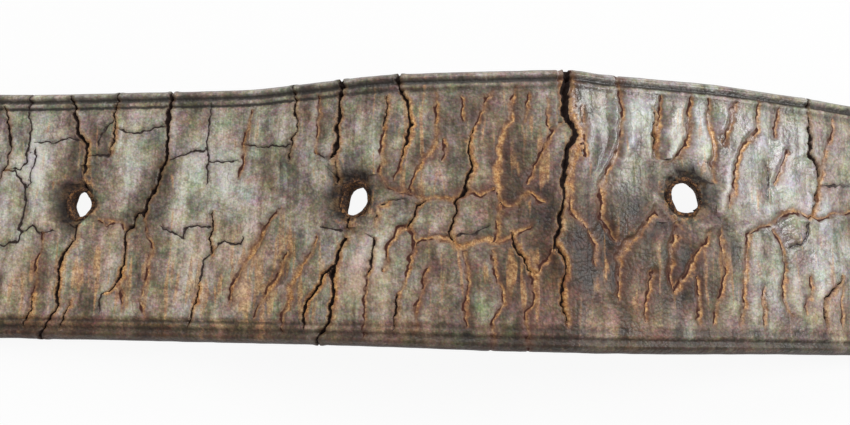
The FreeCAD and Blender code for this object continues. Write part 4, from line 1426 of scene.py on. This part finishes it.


# %% [markdown]
# A tear has a reddened margin, a fringe of pale fibres on its lower side, and a dark core only
# where it is narrow and has closed again. On supple, glossy leather its other lip stands up, with a
# painted highlight along it. A split has fibres on one flank, and its inside is painted nearly
# black as painted shade. The hairlines are the joints of a wandering net of cells, much longer
# across the strap than along it.

# %% Colour of the cracks
def cracked(tree, skin, base):
    """Hairlines, creases, tears and splits, from the faintest to the deepest."""
    cells = add(tree, "Mapping", {"Vector": skin.flow, "Scale": (1 / 2.8, 1 / 7.5, 0)})
    cells = {0: cells, 1: skin.jitter.outputs["Color"]}
    cells = add(tree, "VectorMath", cells, operation="ADD")
    joints_of_cells = {"Vector": cells, "Scale": 1.0}
    hairlines = add(tree, "TexVoronoi", joints_of_cells, feature="DISTANCE_TO_EDGE")
    hairlines = add(tree, "MapRange", {"Value": hairlines, "From Min": 0.05, "From Max": 0.01})
    patchy = add(tree, "Math", {0: skin.patchy, 1: skin.inland}, operation="MULTIPLY")
    gappy = add(tree, "Math", {0: skin.gappy, 1: skin.gaping}, operation="MAXIMUM")
    closed = add(tree, "Math", {0: 1.0, 1: skin.gaping}, operation="SUBTRACT")

    creased = line_mask(tree, "crease", 0.0, 0.1)
    reddened = line_mask(tree, "tear", 0.0, 1.1, shift=-0.2, ragged=0.9)
    fringe = line_mask(tree, "tear", -0.2, 0.45, width=0.65, shift=-0.15, ragged=0.7)
    core = line_mask(tree, "tear", 0.05, 0.24, width=0.2, shift=0.12)
    ridge = line_mask(tree, "tear", 0.0, 0.4, width=0.1, shift=0.85)
    flank = line_mask(tree, "split", 0.0, 0.8, shift=-0.3, ragged=0.6)
    open_split = line_mask(tree, "split", -0.05, 0.12, width=0.95)
    return lay_over(tree, skin, base, (
        ("hairlines", hairlines, (skin.some,), "#3a271e"),
        ("creased", creased, (), "#28140b"),
        ("reddened", reddened, (skin.vivid, 0.45), "#74493a"),
        ("fringe", fringe, (patchy, skin.vivid, gappy), skin.fibres),
        ("core", core, (skin.broken, closed), "#45231a"),
        # a painted highlight along the wrinkle beside each tear, where the leather is supple
        ("ridge", ridge, (skin.cool,), "#eef0ec"),
        ("flank", flank, (patchy, skin.rust, 1.1), skin.fibres),
        # painted shade: nearly black deep inside each split
        ("open_split", open_split, (), "#22110a"),
    ))


# %% Bumps and gloss
def leather_shader(tree, skin, base):
    """Fine relief from the finest grain up, smoother where the leather is still supple, and a
    gloss that grime, painted shade, torn fibres and the flesh side lack."""
    dry = add(tree, "Math", {0: skin.cool, 1: -0.45, 2: 0.65}, operation="MULTIPLY_ADD")
    supple = add(tree, "Math", {0: skin.cool, 1: -0.32, 2: 0.5}, operation="MULTIPLY_ADD")
    relief = {}
    for height, strength, depth, hollow in (
        (skin.specks, dry, 0.05, False),
        (skin.pores, dry, 0.12, True),
        (skin.mottled, dry, 0.18, False),
        (skin.streaks, supple, 0.3, False),
        (skin.hairlines, 0.35, 0.15, True),
    ):
        settings = {"Height": height, "Strength": strength, "Distance": depth * mm}
        relief = {"Normal": add(tree, "Bump", {**settings, **relief}, invert=hollow)}
    rough = {0: skin.cool, 1: -0.24, 2: skin.polished}
    rough = add(tree, "Math", rough, operation="MULTIPLY_ADD")
    soiled_and_shaded = add(tree, "Math", {0: skin.dirty, 1: 0.85}, operation="MULTIPLY")
    for matt in (skin.open_split, skin.in_hole, skin.core, soiled_and_shaded):
        rough = add(tree, "Math", {0: rough, 1: matt}, operation="MAXIMUM")
    rough = add(tree, "Math", {0: skin.suede, 1: 0.35, 2: rough}, operation="MULTIPLY_ADD")
    finish = {"Base Color": base, "Roughness": rough, "IOR": 1.5, **relief}
    return add(tree, "BsdfPrincipled", finish)


# %% Put the leather together
def make_leather(name):
    """Leather whose cracks, stains and painted light follow the measures that are stored on a piece."""
    material = new_material(name)
    tree = material.node_tree
    skin = leather_patterns(tree)
    mark_wear(tree, skin)
    base = grain_colour(tree, skin)
    for step in (weathered, pressed_lines, cracked):
        base = step(tree, skin, base)
    add(tree, "OutputMaterial", {"Surface": leather_shader(tree, skin, base)})
    print(f"{name}: {len(tree.nodes)} nodes")
    return material


# %% Dress the strap
bridle_leather = make_leather("old_bridle_leather")
strap = finished(blank, "bridle_strap", "strap", bridle_leather, "strap")
for name, signed, plain, half in (
    ("split", split_signed, split_plain, split_half),
    ("tear", tear_signed, tear_plain, tear_half),
    ("crease", fold_signed, fold_plain, fold_half),
):
    keep_on_mesh(strap.data, name, signed / mm, np.clip(plain - slack, 0, None) / mm, half / mm)
keep_on_mesh(strap.data, "flow", flow[:, 0] / mm, flow[:, 1] / mm, rust)
keep_on_mesh(strap.data, "wear_and_light", tone, warmth, dirt)
keep_on_mesh(strap.data, "edge", edge_gap / mm, hole_gap / mm, top)

# %% [markdown]
# ## The keepers
# A keeper is a narrow strip of thinner leather, bent round the strap and stapled end to end
# underneath. One is trapped behind the buckle and the other slides. Both are cut flat, burnished
# and creased as the strap was, and then bent round a rectangle with small round corners.

# %% Cut a keeper
keeper_thickness = 2.0 * mm
keeper_inner_radius = 1.2 * mm
keeper_butt_gap = 0.3 * mm
keeper_cell = 0.6 * mm


def keeper_sheet(length, width):
    """A flat keeper with fine walls."""
    bm = flat_sheet(length, width, keeper_cell)
    thicken(bm, keeper_thickness)
    walls = [edge for edge in bm.edges if abs(edge.verts[0].co.z - edge.verts[1].co.z) > 1 * mm]
    bmesh.ops.subdivide_edges(bm, edges=walls, cuts=3, use_grid_fill=True)
    bmesh.ops.recalc_face_normals(bm, faces=bm.faces)
    return bm


def keeper_line(low, high):
    """The line of a keeper's flesh side, once round inside the box of its CAD node."""
    inner_half = high.y - keeper_thickness
    floor_z, roof_z = low.z + keeper_thickness, high.z - keeper_thickness
    return rounded_line([
        (-keeper_butt_gap / 2, floor_z, 0),
        (-inner_half, floor_z, keeper_inner_radius),
        (-inner_half, roof_z, keeper_inner_radius),
        (inner_half, roof_z, keeper_inner_radius),
        (inner_half, floor_z, keeper_inner_radius),
        (keeper_butt_gap / 2, floor_z, 0),
    ])


flat_length = measured(keeper_line(*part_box("sliding_keeper")))[1][-1]
print(f"flat, the sliding keeper is {flat_length / mm:.1f} mm long")

# %% Wear a keeper
keeper_edge_radius = 0.75 * mm


def worn_keeper(flat, edge_gap, lumpy, ripple):
    """A flat keeper's points, with rounded edges, a crease beside each and low wrinkles."""
    side = np.where(flat[:, 1] < 0, 1.0, -1.0)
    inward = np.column_stack((np.zeros(len(flat)), side))
    worn = burnished(flat, edge_gap, inward, keeper_thickness, keeper_edge_radius)
    height = 0.10 * mm * ripple + 0.16 * mm * lumps(lumpy, 9 * mm, 6 * mm, 42.5)
    height -= 0.28 * mm * bump(edge_gap - crease_insets[0], 0.30 * mm)
    on_top = flat[:, 2] > 0.99 * keeper_thickness
    worn[:, 2] += np.where(on_top, height, 0)
    return worn


print(f"a keeper's edges are rounded by {keeper_edge_radius / mm} mm")


# %% Bend the keepers
def make_keeper(name, body, node, material, seed):
    """Cuts a keeper flat, wears it, and bends it round the inside of its CAD node's box. The seed
    gives each keeper its own wrinkles."""
    low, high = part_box(node)
    line, line_marks, line_headings = measured(keeper_line(low, high))
    width = high.x - low.x
    bm = keeper_sheet(line_marks[-1], width)

    flat = coordinates(bm.verts)
    edge_gap = width / 2 - np.abs(flat[:, 1])
    lumpy = np.column_stack((flat[:, 0], flat[:, 1] + seed))
    ripple = lumps(lumpy, 2.2 * mm, 7 * mm, 41.5)
    worn = worn_keeper(flat, edge_gap, lumpy, ripple)
    places, left = follow(worn[:, 0], line, line_marks, line_headings)
    places = places + left * worn[:, 2:]
    x = (low.x + high.x) / 2 + worn[:, 1]
    move(bm, np.column_stack((x, places[:, 0], np.maximum(places[:, 1], low.z))))
    bmesh.ops.recalc_face_normals(bm, faces=bm.faces)

    piece = finished(bm, name, body, material, node)
    corner = bump(np.abs(places[:, 0]) - (high.y - keeper_thickness), 3 * mm)
    tone = 1.6 * lumps(lumpy, 5 * mm, 5 * mm, 43.5) + 1.5 * ripple + 0.7 * corner - 0.5
    far = np.full(len(flat), 9.0)
    warmth = np.full(len(flat), 0.3)
    dirt = 0.3 * bump(edge_gap, 0.8 * mm)
    rust = 0.35 + 0.3 * corner
    for cracks in ("split", "tear", "crease"):
        keep_on_mesh(piece.data, cracks, far, far)
    keep_on_mesh(piece.data, "wear_and_light", tone, warmth, dirt)
    keep_on_mesh(piece.data, "edge", edge_gap / mm, far, flat[:, 2] / keeper_thickness)
    keep_on_mesh(piece.data, "flow", (flat[:, 0] + seed) / mm, flat[:, 1] / mm, rust)


keeper_leather = make_leather("greased_keeper_leather")
make_keeper("fixed_loop", "strap", "fixed_keeper", keeper_leather, 0.1)
make_keeper("sliding_loop", "sliding_keeper", "sliding_keeper", keeper_leather, 0.5)

# %% [markdown]
# ## Metals
# The buckle is mild steel wire and sheet. Its plating has gone, so it is dark with rust in the
# hollows and bare where leather rubs it. The staples are drawn wire that was blued by heat, so
# they are darker and a little duller. The rivets and their burrs are copper, rubbed bright on top,
# brown in the hollows and green where grease and copper met. All three share one recipe: a noise
# decides where the metal is bare, where it is tarnished and where a crust sits on it.

# %% Recipe for a tarnished metal
def make_metal(name, clean, tarnish, crust, bright_share, crust_share, smooth):
    """Metal under patchy tarnish, with a rough crust in spots that isn't metal any more."""
    material = new_material(name)
    tree = material.node_tree
    place = add(tree, "TexCoord").outputs["Object"]
    drawn = add(tree, "Mapping", {"Vector": place, "Scale": (0.3, 1, 1)})
    patches, grains, scratches = [
        add(tree, "TexNoise", {"Vector": laid_on, "Scale": 1 / size, "Detail": detail, **more})
        for laid_on, size, detail, more in (
            (place, 4 * mm, 5.0, {"Roughness": 0.62}),
            (place, 0.7 * mm, 4.0, {"Roughness": 0.6}),
            (drawn, 0.25 * mm, 2.0, {}),
        )
    ]
    mixed = add(tree, "Math", {0: grains, 1: 0.4, 2: patches}, operation="MULTIPLY_ADD")
    bright, crusted, rough = [
        add(tree, "MapRange", dict(zip(range_inputs, levels)))
        for levels in (
            (mixed, 0.66, 0.78, 0, bright_share),
            (mixed, 0.64, 0.54, 0, crust_share),
            (scratches, 0.35, 0.65, smooth, smooth + 0.15),
        )
    ]
    colour = add(tree, "MixRGB", {0: bright, 1: linear(tarnish), 2: linear(clean)})
    speckled = add(tree, "ValToRGB", {0: grains}, stops=((0.35, crust[0]), (0.65, crust[1])))
    colour = add(tree, "MixRGB", {0: crusted, 1: colour, 2: speckled})
    metal = add(tree, "Math", {0: 1.0, 1: crusted}, operation="SUBTRACT")
    rough = add(tree, "Math", {0: crusted, 1: 0.45, 2: rough}, operation="MULTIPLY_ADD")
    pitted = add(tree, "Bump", {"Height": grains, "Strength": 0.5, "Distance": 0.12 * mm})
    lumpy = {"Height": crusted, "Strength": 0.5, "Distance": 0.10 * mm, "Normal": pitted}
    lumpy = add(tree, "Bump", lumpy)
    finish = {"Base Color": colour, "Metallic": metal, "Roughness": rough, "Normal": lumpy}
    add(tree, "OutputMaterial", {"Surface": add(tree, "BsdfPrincipled", finish)})
    return material


# %% The three metals
# Each has its clean colour, its tarnish and the two colours of its crust.
buckle_steel = make_metal(
    "rusty_wire_steel", "#a29e97", "#6b645d", ("#3a271e", "#6d452c"),
    bright_share=0.8, crust_share=0.85, smooth=0.36,
)
staple_steel = make_metal(
    "blued_staple_wire", "#9a9894", "#4e4a48", ("#33231c", "#5f4030"),
    bright_share=0.7, crust_share=0.8, smooth=0.38,
)
rivet_copper = make_metal(
    "tarnished_copper", "#a87254", "#6c4535", ("#3b2f28", "#5a6a5c"),
    bright_share=0.6, crust_share=0.8, smooth=0.36,
)
print("made", buckle_steel.name, staple_steel.name, rivet_copper.name)

# %% Dress the CAD pieces
dressing = {
    "buckle_frame": buckle_steel,
    "buckle_roller": buckle_steel,
    "buckle_prong": buckle_steel,
    "fixed_keeper_staple": staple_steel,
    "sliding_keeper_staple": staple_steel,
    "rivet_burrs": rivet_copper,
}
for node, material in dressing.items():
    for slot_of_node in frame["nodes"][node].material_slots:
        slot_of_node.material = material
print("dressed", ", ".join(dressing))

# %% [markdown]
# ## Rivets
# A copper rivet goes through both layers from above. Its head is a low dome, and its other end is
# hammered out over the burr. Each is half a profile spun round its own axis, and then the head is
# dented a little, because it rested on an anvil and has been knocked about since.

# %% Profile of a rivet
head_height = 1.2 * mm
head_rim = 0.5 * mm
post_radius = 1.75 * mm
peen_radius = 2.5 * mm
peen_height = 0.7 * mm
low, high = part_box("rivets")
head_bottom = high.z - head_height
profile = [
    # radius and height, from the middle of the peened end up to the head's rim
    (0, low.z),
    (0.6 * peen_radius, low.z),
    (peen_radius, low.z + 0.6 * peen_height),
    (peen_radius, low.z + peen_height),
    (post_radius, low.z + peen_height),
    (post_radius, head_bottom),
    (rivet_head_radius - 0.1 * mm, head_bottom),
]
for turn in np.linspace(0.08, 1, 10) * math.pi / 2:
    dome = head_rim * 0.5 + (head_height - head_rim * 0.5) * math.sin(turn)
    profile.append((rivet_head_radius * math.cos(turn) ** 0.7, head_bottom + dome))
print(f"{len(profile)} corners, {(high.z - low.z) / mm:.1f} mm from end to end")

# %% Spin the rivets
rivets = bmesh.new()
for x, y in rivet_spots:
    bm = bmesh.new()
    points = [bm.verts.new((x + r, y, z)) for r, z in profile]
    edges = [bm.edges.new(pair) for pair in zip(points, points[1:])]
    spin = {"cent": (x, y, 0), "axis": (0, 0, 1), "angle": math.tau, "steps": 40}
    bmesh.ops.spin(bm, geom=points + edges, use_merge=True, **spin)
    bmesh.ops.remove_doubles(bm, verts=bm.verts, dist=0.005 * mm)
    bmesh.ops.recalc_face_normals(bm, faces=bm.faces)
    places = coordinates(bm.verts)
    dents = 0.12 * mm * lumps(places, 1.8 * mm, 1.8 * mm, 51.5) - 0.06 * mm
    places[:, 2] += np.clip(dents, -0.3 * mm, 0) * (places[:, 2] > head_bottom + head_rim)
    move(bm, places)
    one = bpy.data.meshes.new("rivet")
    bm.to_mesh(one)
    bm.free()
    rivets.from_mesh(one)
finished(rivets, "domed_rivets", "strap", rivet_copper, "rivets")

# %% [markdown]
# ## Floor and light
# Soft light from behind the far edge of the strap rakes over the wrinkles. A broad lamp at the tip
# end puts a sheen on the slope that faces it. The floor is white to the camera but keeps a shadow.

# %% Floor
half_floor = 3.0
under_strap = 0.02 * mm
floor_mesh = bpy.data.meshes.new("floor")
floor_bm = bmesh.new()
bmesh.ops.create_grid(floor_bm, x_segments=1, y_segments=1, size=half_floor)
bmesh.ops.translate(floor_bm, verts=floor_bm.verts, vec=(0, 0, cad_low.z - under_strap))
floor_bm.to_mesh(floor_mesh)
floor_bm.free()
floor = placed("floor", floor_mesh)
print(f"the floor lies {under_strap / mm} mm under the strap")

# %% Paper of the floor
paper = new_material("white_paper")
tree = paper.node_tree
rays = add(tree, "LightPath").outputs
seen_straight = rays["Is Camera Ray"]
for kind in ("Is Glossy Ray", "Is Transmission Ray"):
    seen_straight = add(tree, "Math", {0: seen_straight, 1: rays[kind]}, operation="MAXIMUM")
share = add(tree, "Math", {0: seen_straight, 1: 0.92}, operation="MULTIPLY")
lit = add(tree, "BsdfDiffuse", {"Color": linear("#f2f2f0")})
glow = add(tree, "Emission", {"Color": (1, 1, 1, 1), "Strength": 1.0})
mixed = add(tree, "MixShader", {0: share, 1: lit, 2: glow})
add(tree, "OutputMaterial", {"Surface": mixed})
floor_mesh.materials.append(paper)
print("a floor of", paper.name)

# %% Sky
world = bpy.data.worlds.new("room")
bpy.context.scene.world = world
world.use_nodes = True
world.node_tree.nodes.clear()
to_camera = add(world.node_tree, "LightPath").outputs["Is Camera Ray"]
strength = add(world.node_tree, "MapRange", {"Value": to_camera, "To Min": 0.45, "To Max": 1.1})
sky = add(world.node_tree, "Background", {"Color": linear("#eef0f2"), "Strength": strength})
add(world.node_tree, "OutputWorld", {"Surface": sky})
print("a pale sky, whiter to the camera than to the strap")


# %% Lamps
def lamp(name, place, size, share):
    """A square lamp aimed at the arch. share is how much of full daylight it adds there."""
    data = bpy.data.lights.new(name, "AREA")
    data.size = size
    offset = Vector(place)
    data.energy = share * math.pi**2 * offset.length_squared
    placed(name, data).matrix_world = looking_back(offset)


lamp("window", place=(-0.1, 0.5, 0.4), size=0.35, share=0.4)
lamp("tip_end_lamp", place=(0.45, 0.15, 0.45), size=0.22, share=0.5)
print("two lamps made")
